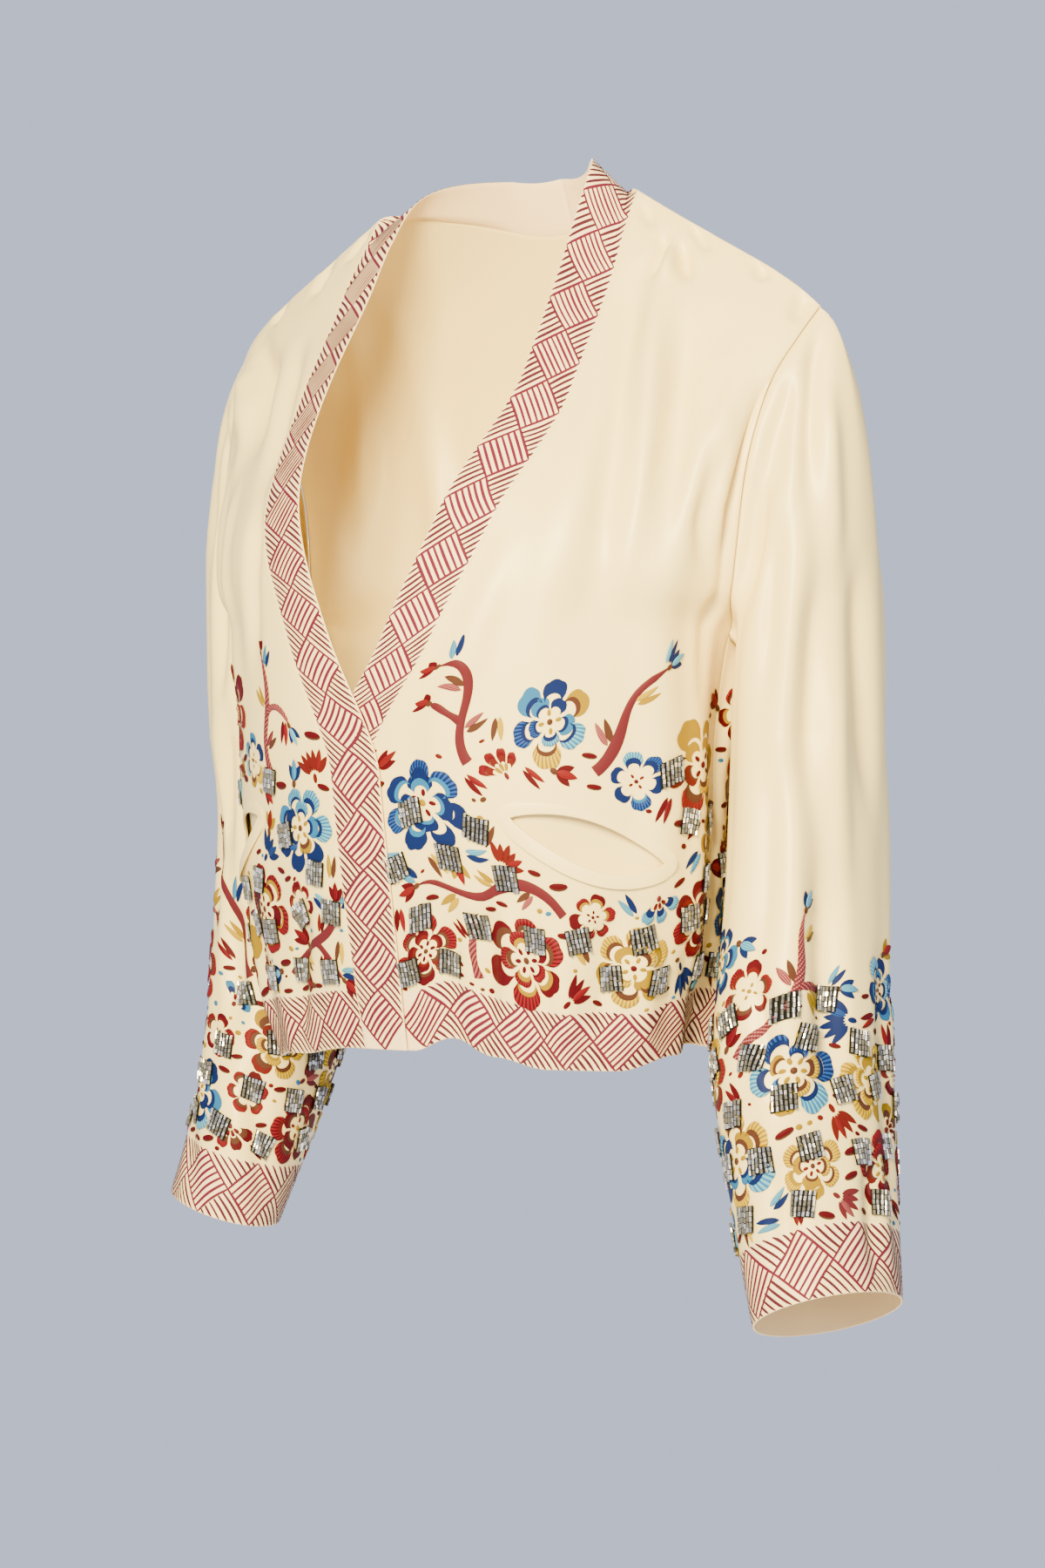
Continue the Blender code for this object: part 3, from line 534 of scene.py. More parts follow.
class Surface:
    """A cloth surface with flat coordinates: along its lower edge, measured at one row, and up from it."""

    def __init__(self, points, reference_row, zero_column=0):
        self.points = points
        self.normals = grid_normals(points)
        self.along = lengths(points[reference_row])
        self.along -= self.along[zero_column]
        self.up = lengths(points)

    def index(self, s, t):
        column = np.interp(s, self.along, np.arange(len(self.along)))
        row = np.full(np.shape(s), 4.0)
        for _ in range(8):
            slope = at(self.up, row + 0.5, column) - at(self.up, row - 0.5, column)
            step = (t - at(self.up, row, column)) / np.maximum(slope, 1e-5)
            row = np.clip(row + step, 0, len(self.up) - 1.001)
        return row, column

    def place(self, s, t, lift):
        row, column = self.index(np.asarray(s, float), np.asarray(t, float))
        normal = unit(at(self.normals, row, column))
        return at(self.points, row, column) + normal * np.asarray(lift)[..., None]


class Strip(Surface):
    """A band's surface with flat coordinates: along its middle, and across it from its sewn edge."""

    def __init__(self, points, way):
        self.points = points
        self.normals = grid_normals(points, way)
        self.along = lengths(points[:, points.shape[1] // 2])

    def index(self, s, t):
        row = np.interp(s, self.along, np.arange(len(self.along)))
        return row, t / BAND_WIDTH * (self.points.shape[1] - 1)


class Layer:
    """Flat shapes gathered for one surface, then laid on it as one piece."""

    def __init__(self, name, surface, materials):
        self.name, self.surface, self.materials = name, surface, materials
        self.s, self.t, self.lift, self.faces, self.paint = [], [], [], [], []
        self.count = 0

    def add(self, s, t, lift, faces, paint):
        self.s.append(np.ravel(s))
        self.t.append(np.ravel(t))
        self.lift.append(np.ravel(np.broadcast_to(lift, np.shape(s))))
        self.faces.extend([tuple(corner + self.count for corner in face) for face in faces])
        self.paint.extend(np.broadcast_to(paint, len(faces)))
        self.count += np.size(s)

    def laid(self):
        points = self.surface.place(*(np.concatenate(part) for part in (self.s, self.t, self.lift)))
        return add_mesh(self.name, points, self.faces, self.materials, self.paint)


def grid_faces(rows, columns, closed=False, way=1):
    faces = []
    for row in range(rows - 1):
        for column in range(columns if closed else columns - 1):
            following = (column + 1) % columns
            a, b = row * columns + column, row * columns + following
            faces.append((a, b, b + columns, a + columns)[::way])
    return faces


def add_object(name, data):
    item = bpy.data.objects.new(name, data)
    bpy.context.scene.collection.objects.link(item)
    return item


def add_mesh(name, points, faces, materials, paint=None):
    mesh = bpy.data.meshes.new(name)
    mesh.from_pydata(np.reshape(points, (-1, 3)).tolist(), [], faces)
    for material in materials:
        mesh.materials.append(material)
    if paint is not None:
        mesh.polygons.foreach_set("material_index", np.array(paint, np.int32))
    mesh.polygons.foreach_set("use_smooth", np.ones(len(mesh.polygons), bool))
    mesh.update()
    piece = add_object(name, mesh)
    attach(piece, "root")
    return piece


def add_cloth(node, points, faces, slot, border=None, thickness=CLOTH):
    """A cloth shell in place of a solid; border is each point's height above its printed border, if any."""
    stem, _, last = node.rpartition("_")
    piece = add_mesh(f"{stem}_cloth_{last}" if stem else node + "_cloth", points, faces, [silks[slot]])
    if border is not None:
        values = piece.data.attributes.new("border", "FLOAT", "POINT")
        values.data.foreach_set("value", np.ravel(border).astype(np.float32))
    shell = piece.modifiers.new("cloth", "SOLIDIFY")
    shell.thickness, shell.offset = thickness, 0
    edges = piece.modifiers.new("edges", "WEIGHTED_NORMAL")
    edges.mode, edges.weight = "FACE_AREA", 100
    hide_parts(node)
    cloths[node] = piece


def principled(name, colour, roughness, metallic=0.0, gloss=0.08):
    material = bpy.data.materials.new(name)
    material.use_nodes = True
    shader = material.node_tree.nodes["Principled BSDF"]
    shader.inputs["Base Color"].default_value = (*colour, 1)
    shader.inputs["Roughness"].default_value = roughness
    shader.inputs["Metallic"].default_value = metallic
    shader.inputs["Specular IOR Level"].default_value = gloss
    return material


def silk(name, ground, border_ground=None):
    """Silk with a faint weave and mottle, and a tinted border where the piece has one."""
    material = principled(name, ground, 0.42, gloss=0.5)
    nodes, links = material.node_tree.nodes, material.node_tree.links

    def add(kind, output, **inputs):
        """A new node's output; an input named with _ for a space takes a value or another node's output."""
        node = nodes.new("ShaderNode" + kind)
        if kind == "Mix":
            node.data_type = "RGBA"
        for label, value in inputs.items():
            socket = node.inputs[label.replace("_", " ")]
            if isinstance(value, bpy.types.NodeSocket):
                links.new(value, socket)
            else:
                socket.default_value = value
        return node.outputs[output]

    place = add("TexCoord", "Object")
    mottle = add("TexNoise", "Fac", Scale=22, Detail=3, Vector=place)
    dark = (*(0.965 * value for value in ground), 1)
    light = (*(min(1.03 * value, 1) for value in ground), 1)
    colour = add("Mix", "Result", A=dark, B=light, Factor=mottle)
    if border_ground:
        height = add("Attribute", "Fac")
        height.node.attribute_name = "border"
        edge = add("MapRange", "Result", From_Min=0.0004, From_Max=-0.0004, Value=height)
        edge.node.interpolation_type = "SMOOTHSTEP"
        colour = add("Mix", "Result", A=colour, B=(*border_ground, 1), Factor=edge)
    weave = add("TexNoise", "Fac", Scale=900, Detail=2, Vector=place)
    normal = add("Bump", "Normal", Strength=0.08, Distance=0.0004, Height=weave)
    shader = nodes["Principled BSDF"]
    links.new(colour, shader.inputs["Base Color"])
    links.new(normal, shader.inputs["Normal"])
    return material


def hatch(name, surface, start, length, height, pairs, seed):
    """A basketweave border: a row of diamonds hatched one way, and half diamonds hatched the other."""
    layer, spread = Layer(name, surface, hatch_paint), np.random.RandomState(seed)
    wide = length / pairs
    one, other = np.array((wide / 2, height / 2)), np.array((wide / 2, -height / 2))
    lines = 7

    def stroke(centre, a0, b0, a1, b1, bow, paint):
        ends = centre + np.array([a0 * one + b0 * other, a1 * one + b1 * other])
        reach = ends[1] - ends[0]
        size = np.hypot(*reach)
        if size < 0.002:
            return
        stations = max(int(size / 0.004) + 2, 3)
        share = np.linspace(0, 1, stations)
        sideways = np.array((-reach[1], reach[0])) / size
        bent = (bow * (size / 0.024) ** 2 + spread.uniform(-0.0002, 0.0002)) * np.sin(np.pi * share)
        half = 0.00080 * spread.uniform(0.85, 1.15) * (1 - 0.25 * np.abs(2 * share - 1) ** 3)
        middle = ends[0] + share[:, None] * reach + bent[:, None] * sideways
        edges = np.stack([middle - half[:, None] * sideways, middle + half[:, None] * sideways], axis=1)
        edges[..., 1] = np.clip(edges[..., 1], 0.0002, height - 0.0002)
        layer.add(edges[..., 0], edges[..., 1], PRINT_LIFT, grid_faces(stations, 2), paint)

    for number in range(pairs):
        centre = np.array((start + (number + 0.5) * wide, height / 2))
        bow = spread.uniform(-0.0011, 0.0011)
        for line in range(lines + 1):
            b = -0.5 + line / lines
            stroke(centre, -0.5, b, 0.5, b, bow, 0)
        stroke(centre, -0.5, -0.5, -0.5, 0.5, 0.0, 0)
        stroke(centre, 0.5, -0.5, 0.5, 0.5, 0.0, 0)
        for level in (height, 0.0):
            corner = np.array((start + (number + 1) * wide, level))
            bow = spread.uniform(-0.0010, 0.0010)
            for line in range(1, lines):
                a = -0.5 + line / lines
                if level > 0:
                    stroke(corner, a, a, a, 0.5, bow, 1)
                else:
                    stroke(corner, a, -0.5, a, a, bow, 1)
    return layer.laid()


def toward(s, t, angle, reach):
    """The point at a reach from (s, t)."""
    return s + math.cos(angle) * reach, t + math.sin(angle) * reach


def turned(s, t, x, y, angle):
    """Points (x, y) turned by an angle about (s, t), where their origin lies."""
    cosine, sine = math.cos(angle), math.sin(angle)
    return s + x * cosine - y * sine, t + x * sine + y * cosine


def stitches(rows, across, paint):
    """Which lines across a patch stand higher, and the tones of its faces: the face running down from each
    raised line takes the lighter thread tone, a painted highlight on one side of the stitch.
    """
    odd = np.arange(across) % 2
    return odd, np.tile(np.where(odd[:-1] > 0, THREAD_HIGHLIGHTS[paint], paint), rows - 1)


class Florals:
    """A generic print of branches, blossoms, buds and leaves scattered over a strip of one surface."""

    def __init__(self, layer, low, high, first, last, seed, period=None, keep_out=()):
        self.layer = layer
        self.low, self.high, self.first, self.last = low, high, first, last
        self.period = period
        self.circles = np.full((MOST_CIRCLES, 3), 1e6)
        self.count = 0
        self.claim(keep_out)
        self.random = np.random.RandomState(seed)
        self.draw = self.random.uniform
        self.wave = self.draw(0, 2 * np.pi)
        self.bloom = seed

    def claim(self, circles):
        for circle in circles:
            self.circles[self.count] = circle
            self.count += 1

    def free(self, s, t, radius):
        taken = self.circles[: self.count]
        away = np.abs(s - taken[:, 0])
        if self.period:
            away = np.minimum(away, np.abs(self.period - away))
        return not (away**2 + (t - taken[:, 1]) ** 2 < (radius + taken[:, 2]) ** 2).any()

    def spot(self, radius, tries=260, airy=0.5):
        """A free spot, likelier low down than high up."""
        for _ in range(tries):
            inset = 0 if self.period else radius
            s = self.draw(self.first + inset, self.last - inset)
            t = self.draw(self.low + radius * 0.95, self.high)
            rise = (t - self.low) / (self.high - self.low)
            if t > self.high - 0.05 * (0.5 + 0.5 * math.sin(42 * s + self.wave)):
                continue
            if self.draw() < 1 - airy * rise**2 and self.free(s, t, radius):
                self.claim([(s, t, radius)])
                return s, t
        return None

    def pick(self, *choices):
        return choices[self.random.randint(len(choices))]

    def fan(self, s, t, angle, near, far, spread, ground, rim, stitched, split=0.5):
        """A scalloped petal of a flower round (s, t): a flat ground, and a rim, plain or stitched."""
        rows, across = 5, 19
        v = np.linspace(-1, 1, across)[None, :]
        rounded = 1 - 0.15 * v**2 - 0.12 * v**6
        lobes, phase = self.draw(3.0, 5.0), self.draw(0, 3)
        scallop = 0.90 + 0.16 * np.abs(np.cos(lobes * v + phase))
        seam = near + (far - near) * split
        share = np.linspace(0, 1, rows)[:, None]
        for low, high, paint, raised in ((near, seam, ground, False), (seam, far, rim, stitched)):
            r = (low + (high - low) * share * (scallop if high == far else 1)) * rounded
            bearing = angle + spread / 2 * v * (0.80 + 0.20 * r / far)
            height, tones = PRINT_LIFT + 0 * r, paint
            if raised:
                odd, tones = stitches(rows, across, paint)
                dome = np.sin(np.pi * np.clip(share, 0.06, 0.94)) ** 0.6
                height = height + (0.0006 + 0.00035 * odd) * dome
            faces = grid_faces(rows, across, way=-1)
            self.layer.add(s + r * np.cos(bearing), t + r * np.sin(bearing), height, faces, tones)

    def petal(self, s, t, angle, length, width, paint, lift=0.0, raised=False, tip=0.8):
        """A petal or leaf from its root; a raised one has threads along it."""
        stations, across = 8, 9 if raised else 5
        a = np.linspace(0, 1, stations)[:, None]
        v = np.linspace(-1, 1, across)[None, :]
        half = width / 2 * np.sin(np.pi * np.clip(a, 0.004, 0.996) ** tip) ** 0.7
        x, y = length * a + 0 * v, half * v
        height, tones = PRINT_LIFT + lift + 0 * x, paint
        if raised:
            odd, tones = stitches(stations, across, paint)
            dome = np.sin(np.pi * np.clip(a, 0.05, 0.95)) ** 0.5
            height = height + (0.0005 * (1 - v**2) + 0.00028 * odd) * dome
        faces = grid_faces(stations, across, way=-1)
        self.layer.add(*turned(s, t, x, y, angle), height, faces, tones)

    def oval(self, s, t, angle, length, width, paint, lift=0.0, dome=0.0):
        rings, round_it = 3, 12
        r = np.linspace(0.02, 1, rings)[:, None]
        turn = np.arange(round_it)[None, :] * 2 * np.pi / round_it
        x, y = length / 2 * r * np.cos(turn), width / 2 * r * np.sin(turn)
        height = PRINT_LIFT + lift + dome * (1 - r**2) + 0 * turn
        faces = grid_faces(rings, round_it, closed=True, way=-1)
        faces.append(tuple(range(round_it)))
        self.layer.add(*turned(s, t, x, y, angle), height, faces, paint)

    def path(self, s, t, angle, length, bend, stations):
        share = np.linspace(0, 1, stations)
        heading = angle + bend * share + 0.5 * np.sin(70 * length * share + 40 * s)
        step = length / (stations - 1)
        x = s + np.concatenate([[0], np.cumsum(np.cos(heading[:-1]) * step)])
        y = t + np.concatenate([[0], np.cumsum(np.sin(heading[:-1]) * step)])
        return x, y, heading

    def fits(self, x, y, radius, skip):
        inside = y.min() > self.low + 0.005 and y.max() < self.high + 0.030
        if not self.period:
            inside = inside and x.min() > self.first + 0.006 and x.max() < self.last - 0.006
        return inside and all(self.free(x[k], y[k], radius) for k in range(skip, len(x), 2))

    def branch(self, x, y, heading, wide, stitched):
        """A tapering branch, plain or with raised slanting stitches along it; the stitches take a blush
        tone, a painted highlight on them.
        """
        stations, lanes = len(x), 7
        share = np.linspace(0, 1, stations)
        knots, tip = 1 + 0.18 * np.sin(8 * share + x[0] * 40), np.minimum(1, 6 * (1.03 - share))
        half = wide / 2 * (1 - 0.45 * share) * knots * tip
        v = np.linspace(-1, 1, lanes)
        across_s = x[:, None] - np.sin(heading)[:, None] * half[:, None] * v
        across_t = y[:, None] + np.cos(heading)[:, None] * half[:, None] * v
        slant = (np.arange(stations)[:, None] + np.arange(lanes)[None, :]) % 3 == 0
        lift = PRINT_LIFT + (0.0004 + 0.00030 * slant * stitched) * (1 - v**2)[None, :]
        # Raised slanting stitches in a blush tone: painted highlight on the stitches.
        tones = np.where(slant[:-1, :-1] & stitched, ROSE_THREAD_HIGHLIGHT, DUSK).ravel()
        self.layer.add(across_s, across_t, lift, grid_faces(stations, lanes, way=-1), tones)

    def leaf(self, s, t, angle, length, paints):
        """A leaf of two tones with a bare line between its halves."""
        for side, paint in ((1, paints[0]), (-1, paints[1])):
            shift = side * length * 0.15
            root_s, root_t = s - math.sin(angle) * shift * 0.6, t + math.cos(angle) * shift * 0.6
            self.petal(root_s, root_t, angle + side * 0.10, length, length * 0.26, paint, raised=side > 0)

    def blossom(self, s, t, size):
        """A full flower: broad scalloped petals of mixed tones round a heart of small petals or dots."""
        self.bloom += 1
        tones = BLOSSOM_TONES[self.bloom % len(BLOSSOM_TONES)]
        turn = self.draw(0, 2 * np.pi)
        rings = ((self.pick(5, 6, 6, 7), 0.64, 0.96, 0.60), (self.pick(4, 5), 0.36, 0.59, 0.35))
        for petals, near, far, stitching in rings if size > 0.019 else rings[:1]:
            wide = 2 * np.pi / petals
            for number in range(petals):
                angle = turn + (number + self.draw(-0.05, 0.05)) * wide
                low, high = near * self.draw(0.94, 1.03), far * self.draw(0.90, 1.08)
                ground, rim = self.pick(*tones)
                stitched = self.draw() < stitching
                spread, split = wide * self.draw(0.86, 0.95), self.draw(0.25, 0.5)
                self.fan(s, t, angle, size * low, size * high, spread, ground, rim, stitched, split)
            turn += 0.4
        count, shade = self.pick(4, 5, 6), self.pick(OCHRE, CRIMSON, BRICK)
        for number in range(count):
            angle = turn + number * 2 * np.pi / count
            dot = toward(s, t, angle, size * 0.21)
            self.oval(*dot, angle, size * 0.15, size * 0.09, shade, dome=0.0003)
        self.oval(s, t, 0, size * 0.14, size * 0.14, self.pick(CRIMSON, OCHRE, UMBER), 0.0002, dome=0.0006)

    def half_flower(self, s, t, reach):
        """A flower seen from the side: a fan of petals over a smaller fan and a calyx."""
        size, heading = reach * 0.78, self.draw(0, 2 * np.pi)
        outer, rim, inner, inner_rim = self.pick(
            (UMBER, CRIMSON, BRICK, CRIMSON),
            (CRIMSON, CRIMSON, UMBER, BRICK),
            (COBALT, SKY, CRIMSON, BRICK),
            (BRICK, CRIMSON, OCHRE, OCHRE),
            (UMBER, OCHRE, CRIMSON, CRIMSON),
        )
        root = toward(s, t, heading, size * -0.45)
        petals = self.pick(3, 4)
        for number in range(petals):
            angle = heading + (number - (petals - 1) / 2) * 2.5 / petals
            far, stitched = size * self.draw(1.25, 1.42), self.draw() < 0.6
            self.fan(*root, angle, size * 0.66, far, 2.5 / petals * 0.88, outer, rim, stitched)
        for lean in (-0.62, 0, 0.62):
            self.fan(*root, heading + lean, size * 0.26, size * 0.58, 0.52, inner, inner_rim, False)
        self.oval(*root, heading, size * 0.34, size * 0.26, DUSK, 0.0002, 0.0005)

    def spray(self, s, t, size):
        """A fan of slender leaves."""
        heading = self.draw(0, 2 * np.pi)
        paint, leaves = self.pick(DUSK, DUSK, CRIMSON, COBALT, BRICK), self.pick(4, 5, 6)
        root = toward(s, t, heading, size * -0.62)
        for number in range(leaves):
            lean = heading + (number - (leaves - 1) / 2) * 0.34
            length = size * self.draw(0.80, 1.05)
            start = toward(*root, lean, size * 0.30)
            self.petal(*start, lean, length, size * 0.30, paint, raised=number == 1)
        self.oval(*root, heading, size * 0.40, size * 0.22, paint)

    def bud(self, s, t, size, angle):
        outer, inner = self.pick((CRIMSON, BRICK), (COBALT, SKY), (OCHRE, BRICK), (CRIMSON, CRIMSON))
        for lean in (-0.55, 0.55):
            self.petal(s, t, angle + lean, size, size * 0.46, outer)
        self.petal(s, t, angle, size * 1.15, size * 0.46, inner, 0.0003, raised=True)
        root = toward(s, t, angle, size * -0.15)
        self.oval(*root, angle, size * 0.46, size * 0.34, UMBER, 0.0004, 0.0004)

    def dot(self, s, t, size):
        paint = self.pick(CRIMSON, CRIMSON, BRICK, SKY, OCHRE, OCHRE, UMBER)
        tilt, width = self.draw(-0.5, 0.5), size * self.draw(0.6, 0.8)
        self.oval(s, t, tilt, size, width, paint, 0.0, 0.0004)

    def seed(self, s, t, size):
        """A long dark seed with a brown edge below it."""
        tilt = self.draw(-0.35, 0.35)
        self.oval(s, t - size * 0.05, tilt, size, size * 0.40, UMBER)
        self.oval(s, t, tilt, size * 0.96, size * 0.30, CRIMSON, 0.0002, 0.0003)

    def leafy_branch(self, s, t, angle, length, wide, leaf_step, skip=3):
        """A branch with leaves in turn on its two sides and a bud at its tip, where there is room."""
        stations = max(int(length / BRANCH_STEP), 12)
        x, y, heading = self.path(s, t, angle, length, self.draw(-1.1, 1.1), stations)
        if not self.fits(x, y, wide * 0.5 + 0.0012, skip):
            return None
        self.branch(x, y, heading, wide, self.draw() < 0.7)
        claims = [(x[k], y[k], wide * 0.5 + 0.0008) for k in range(0, stations, 2)]
        side = self.pick(-1, 1)
        tones = (*LEAF_TONES, (OCHRE, OCHRE), (DUSK, UMBER))
        for k in range(int(stations * 0.22), stations - 2, max(int(leaf_step / BRANCH_STEP), 2)):
            side = -side
            lean = heading[k] + side * self.draw(0.7, 1.05)
            size = self.draw(0.011, 0.017)
            off = wide * 0.45 + 0.0012
            middle = toward(x[k], y[k], lean, off + size * 0.55)
            if middle[1] > self.low + 0.008 and self.free(*middle, size * 0.45):
                self.leaf(*toward(x[k], y[k], lean, off), lean, size, self.pick(*tones))
                claims.append((*middle, size * 0.45))
        tip = toward(x[-1], y[-1], heading[-1], 0.007)
        if self.free(*tip, 0.007):
            self.bud(*toward(x[-1], y[-1], heading[-1], 0.0015), 0.010, heading[-1])
            claims.append((*tip, 0.008))
        self.claim(claims)
        return x, y, heading

    def grow(self, count, sizes, room, airy, add, tries=260):
        """Adds motifs of random sizes, each where a circle of a share of its size is free."""
        for _ in range(round(count)):
            size = self.draw(*sizes)
            found = self.spot(size * room, tries, airy)
            if found:
                add(*found, size)

    def scatter(self, width):
        """Fills the strip, largest motifs first; width scales how many there are."""
        draw = self.draw
        self.grow(5.5 * width, (0.0225, 0.0295), 1.0, 0.5, self.blossom)
        grown = 0
        for _ in range(round(50 * width)):
            found = self.spot(0.005, airy=0.2) if grown < 2.6 * width else None
            if found:
                self.count -= 1
                lean = self.pick(draw(0.3, 1.2), draw(1.9, 2.8))
                main = self.leafy_branch(*found, lean, draw(0.070, 0.115), 0.0070, 0.026)
                if main:
                    grown += 1
                    x, y, heading = main
                    for share, side in ((0.30, 1), (0.52, -1), (0.74, 1)):
                        k = int(len(x) * share)
                        lean = heading[k] + side * draw(0.6, 1.0)
                        length = draw(0.024, 0.042)
                        self.leafy_branch(x[k], y[k], lean, length, 0.0054, 0.018, skip=10)
        self.grow(20 * width, (0.0200, 0.0250), 0.98, 0.6, self.blossom)
        self.grow(20 * width, (0.0140, 0.0188), 0.95, 0.6, self.blossom)
        self.grow(26 * width, (0.0140, 0.0195), 0.82, 0.6, self.half_flower)
        self.grow(7 * width, (0.0130, 0.0170), 0.70, 0.7, self.spray)
        for _ in range(round(40 * width)):
            found = self.spot(0.004, airy=0.4)
            if found:
                self.count -= 1
                angle, length = draw(0, 2 * np.pi), draw(0.020, 0.040)
                self.leafy_branch(*found, angle, length, 0.0052, 0.014)
        for _ in range(round(95 * width)):
            found = self.spot(0.0068, airy=0.6)
            if found:
                angle = draw(0, 2 * np.pi)
                root = toward(*found, angle, -0.0066)
                if draw() < 0.4:
                    self.bud(*root, 0.0110, angle)
                else:
                    self.leaf(*root, angle, 0.0140, self.pick(*LEAF_TONES))
        self.grow(105 * width, (0.0075, 0.0145), 0.46, 0.9, self.seed, 120)
        self.grow(45 * width, (0.0026, 0.0050), 0.6, 0.9, self.dot, 60)


def bead_places(first, last, low, high, seed, period=None, keep_out=()):
    """Spots for bead squares: a loose staggered net over a strip, clear of the pocket."""
    spread = np.random.RandomState(seed)
    places = []
    columns = max(round((last - first) / BEAD_NET[0]), 1)
    step = (last - first) / columns
    rows = int((high - low - 0.018) / BEAD_NET[1]) + 1
    for number in range(rows):
        for column in range(columns):
            stagger = 0.25 if number % 2 else -0.25
            s = first + (column + 0.5 + stagger) * step + spread.uniform(-0.006, 0.006)
            t = low + 0.014 + number * BEAD_NET[1] + spread.uniform(-0.006, 0.006)
            tilt = spread.uniform(-0.28, 0.28)
            keep = spread.uniform() < (0.86 if number < rows - 1 else 0.45)
            clear = all(math.hypot(s - a, t - b) > radius + 0.0075 for a, b, radius in keep_out)
            if not period:
                s = min(max(s, first + 0.011), last - 0.011)
            if keep and clear:
                places.append((s, max(t, low + 0.0115), tilt))
    return places


def bead_squares(name, surface, squares, seed):
    """Squares of short bugle beads in columns, sewn over the print, on a near-black sheet that is painted
    shade in the gaps between the columns.
    """
    spread = np.random.RandomState(seed)
    columns, per_column = 6, 5
    half, radius, sides = 0.00128, 0.00086, 6
    shade_sheet_lift = PRINT_LIFT + 0.0009
    centres, tilts, rolls, shades, corners = [], [], [], [], []
    for s, t, tilt in squares:
        for x in np.linspace(-0.0076, 0.0076, 4):
            for y in np.linspace(-0.0074, 0.0074, 4):
                corners.append(turned(s, t, x, y, tilt))
        for column in range(columns):
            sag = spread.uniform(-0.0005, 0.0005)
            for bead in range(per_column):
                x = (column - (columns - 1) / 2) * 0.00245 + spread.uniform(-0.00012, 0.00012)
                y = (bead - (per_column - 1) / 2) * 0.00295 + sag + spread.uniform(-0.00015, 0.00015)
                centres.append(turned(s, t, x, y, tilt))
                tilts.append(tilt + spread.uniform(-0.08, 0.08))
                rolls.append(spread.uniform(0, np.pi / 3))
                shades.append(spread.choice((0, 0, 1, 1, 2, 2)))
    centres, tilts, corners = np.array(centres), np.array(tilts), np.array(corners)
    lift = np.full(len(centres), shade_sheet_lift + radius * 0.9)
    axis = np.stack([-np.sin(tilts), np.cos(tilts)], axis=1) * half
    low = surface.place(centres[:, 0] - axis[:, 0], centres[:, 1] - axis[:, 1], lift)
    high = surface.place(centres[:, 0] + axis[:, 0], centres[:, 1] + axis[:, 1], lift)
    above = surface.place(centres[:, 0], centres[:, 1], lift + 0.001)
    along = unit(high - low)
    up = above - (low + high) / 2
    up = unit(up - (up * along).sum(1, keepdims=True) * along)
    beside = np.cross(along, up)
    turn = (np.arange(sides) * 2 * np.pi / sides)[None, :] + np.array(rolls)[:, None]
    ring = radius * (np.cos(turn)[..., None] * up[:, None] + np.sin(turn)[..., None] * beside[:, None])
    beads = np.concatenate([low[:, None] + ring, high[:, None] + ring], axis=1).reshape(-1, 3)
    shade_sheet_points = surface.place(corners[:, 0], corners[:, 1], np.full(len(corners), shade_sheet_lift))
    faces, paint = [], []
    for number in range(len(centres)):
        base = number * 2 * sides
        for side in range(sides):
            after = (side + 1) % sides
            faces.append((base + side, base + after, base + sides + after, base + sides + side))
        faces.append(tuple(base + sides + side for side in range(sides)))
        faces.append(tuple(base + side for side in reversed(range(sides))))
        paint.extend([shades[number]] * (sides + 2))
    # A near-black sheet under each square: painted shade showing in the gaps between the beads.
    for number in range(len(squares)):
        base = len(beads) + number * 16
        patch = [tuple(corner + base for corner in face) for face in grid_faces(4, 4)]
        faces.extend(patch)
        paint.extend([len(BEAD_METALS) - 1] * len(patch))
    piece = add_mesh(name, np.concatenate([beads, shade_sheet_points]), faces, bead_materials, paint)
    piece.data.polygons.foreach_set("use_smooth", np.zeros(len(piece.data.polygons), bool))
    return piece


silks = {
    "body_silk": silk("body_silk", IVORY, BORDER_GROUND),
    "band_silk": silk("band_silk", BORDER_GROUND),
    "pocket_silk": silk("pocket_silk", IVORY),
}
hatch_paint = [principled(name, colour, 0.6) for name, *colour in HATCH_PAINTS]
paints = [principled(name, colour, 0.55) for name, *colour in PAINTS]
bead_materials = [
    principled(name, (tone, tone, tone), roughness, metallic=0.9 if tone > 0.1 else 0.0)
    for name, tone, roughness in BEAD_METALS
]

# Fronts, back and bands, and one surface round the body for the print
row_index = {row: number for number, row in enumerate(ROWS)}
row, column = np.meshgrid(ROWS, COLUMNS, indexing="ij")
front_fade = ease(column, 0, 0.6) * (1 - ease(column, PANEL_COLUMNS - 0.6, PANEL_COLUMNS))
front_fade = front_fade * (1 - ease(row, TOP_ROW - 0.3, TOP_ROW))
cloths, fronts = {}, {}
for side in (LEFT, RIGHT):
    creases = indexed(FRONT_CREASES[side], lambda r, c: (r / ROW_STEP, c / COLUMN_STEP))
    base = front_points(side, -1)
    shift = creased(base, grid_normals(base, side), creases, front_fade) - base
    fronts[side] = {"upper": front_points(side, 1) + shift, "lower": base + shift, "shift": shift}

turns = np.degrees(back_turns())
back = back_points()
back_creases = indexed(
    BACK_CREASES, lambda r, turn: (r / ROW_STEP, np.interp(-turn, -turns, np.arange(len(turns))))
)
side_fade = ease(90 - np.abs(turns), 0, 5)[None, :] * (1 - ease(ROWS, 26.4, TOP_ROW))[:, None]
back = creased(back, grid_normals(back), back_creases, side_fade)

underarm_row = row_index[UNDERARM * ROWS_PER_SECTION]
ring = np.concatenate(
    [
        fronts[LEFT]["lower"][: underarm_row + 1],
        back[: underarm_row + 1, 1:],
        fronts[RIGHT]["lower"][: underarm_row + 1, -2::-1],
    ],
    axis=1,
)
body = Surface(ring, row_index[GIRTH_ROW])
left_end, right_start, body_end = body.along[[len(COLUMNS) - 1, -len(COLUMNS), -1]]

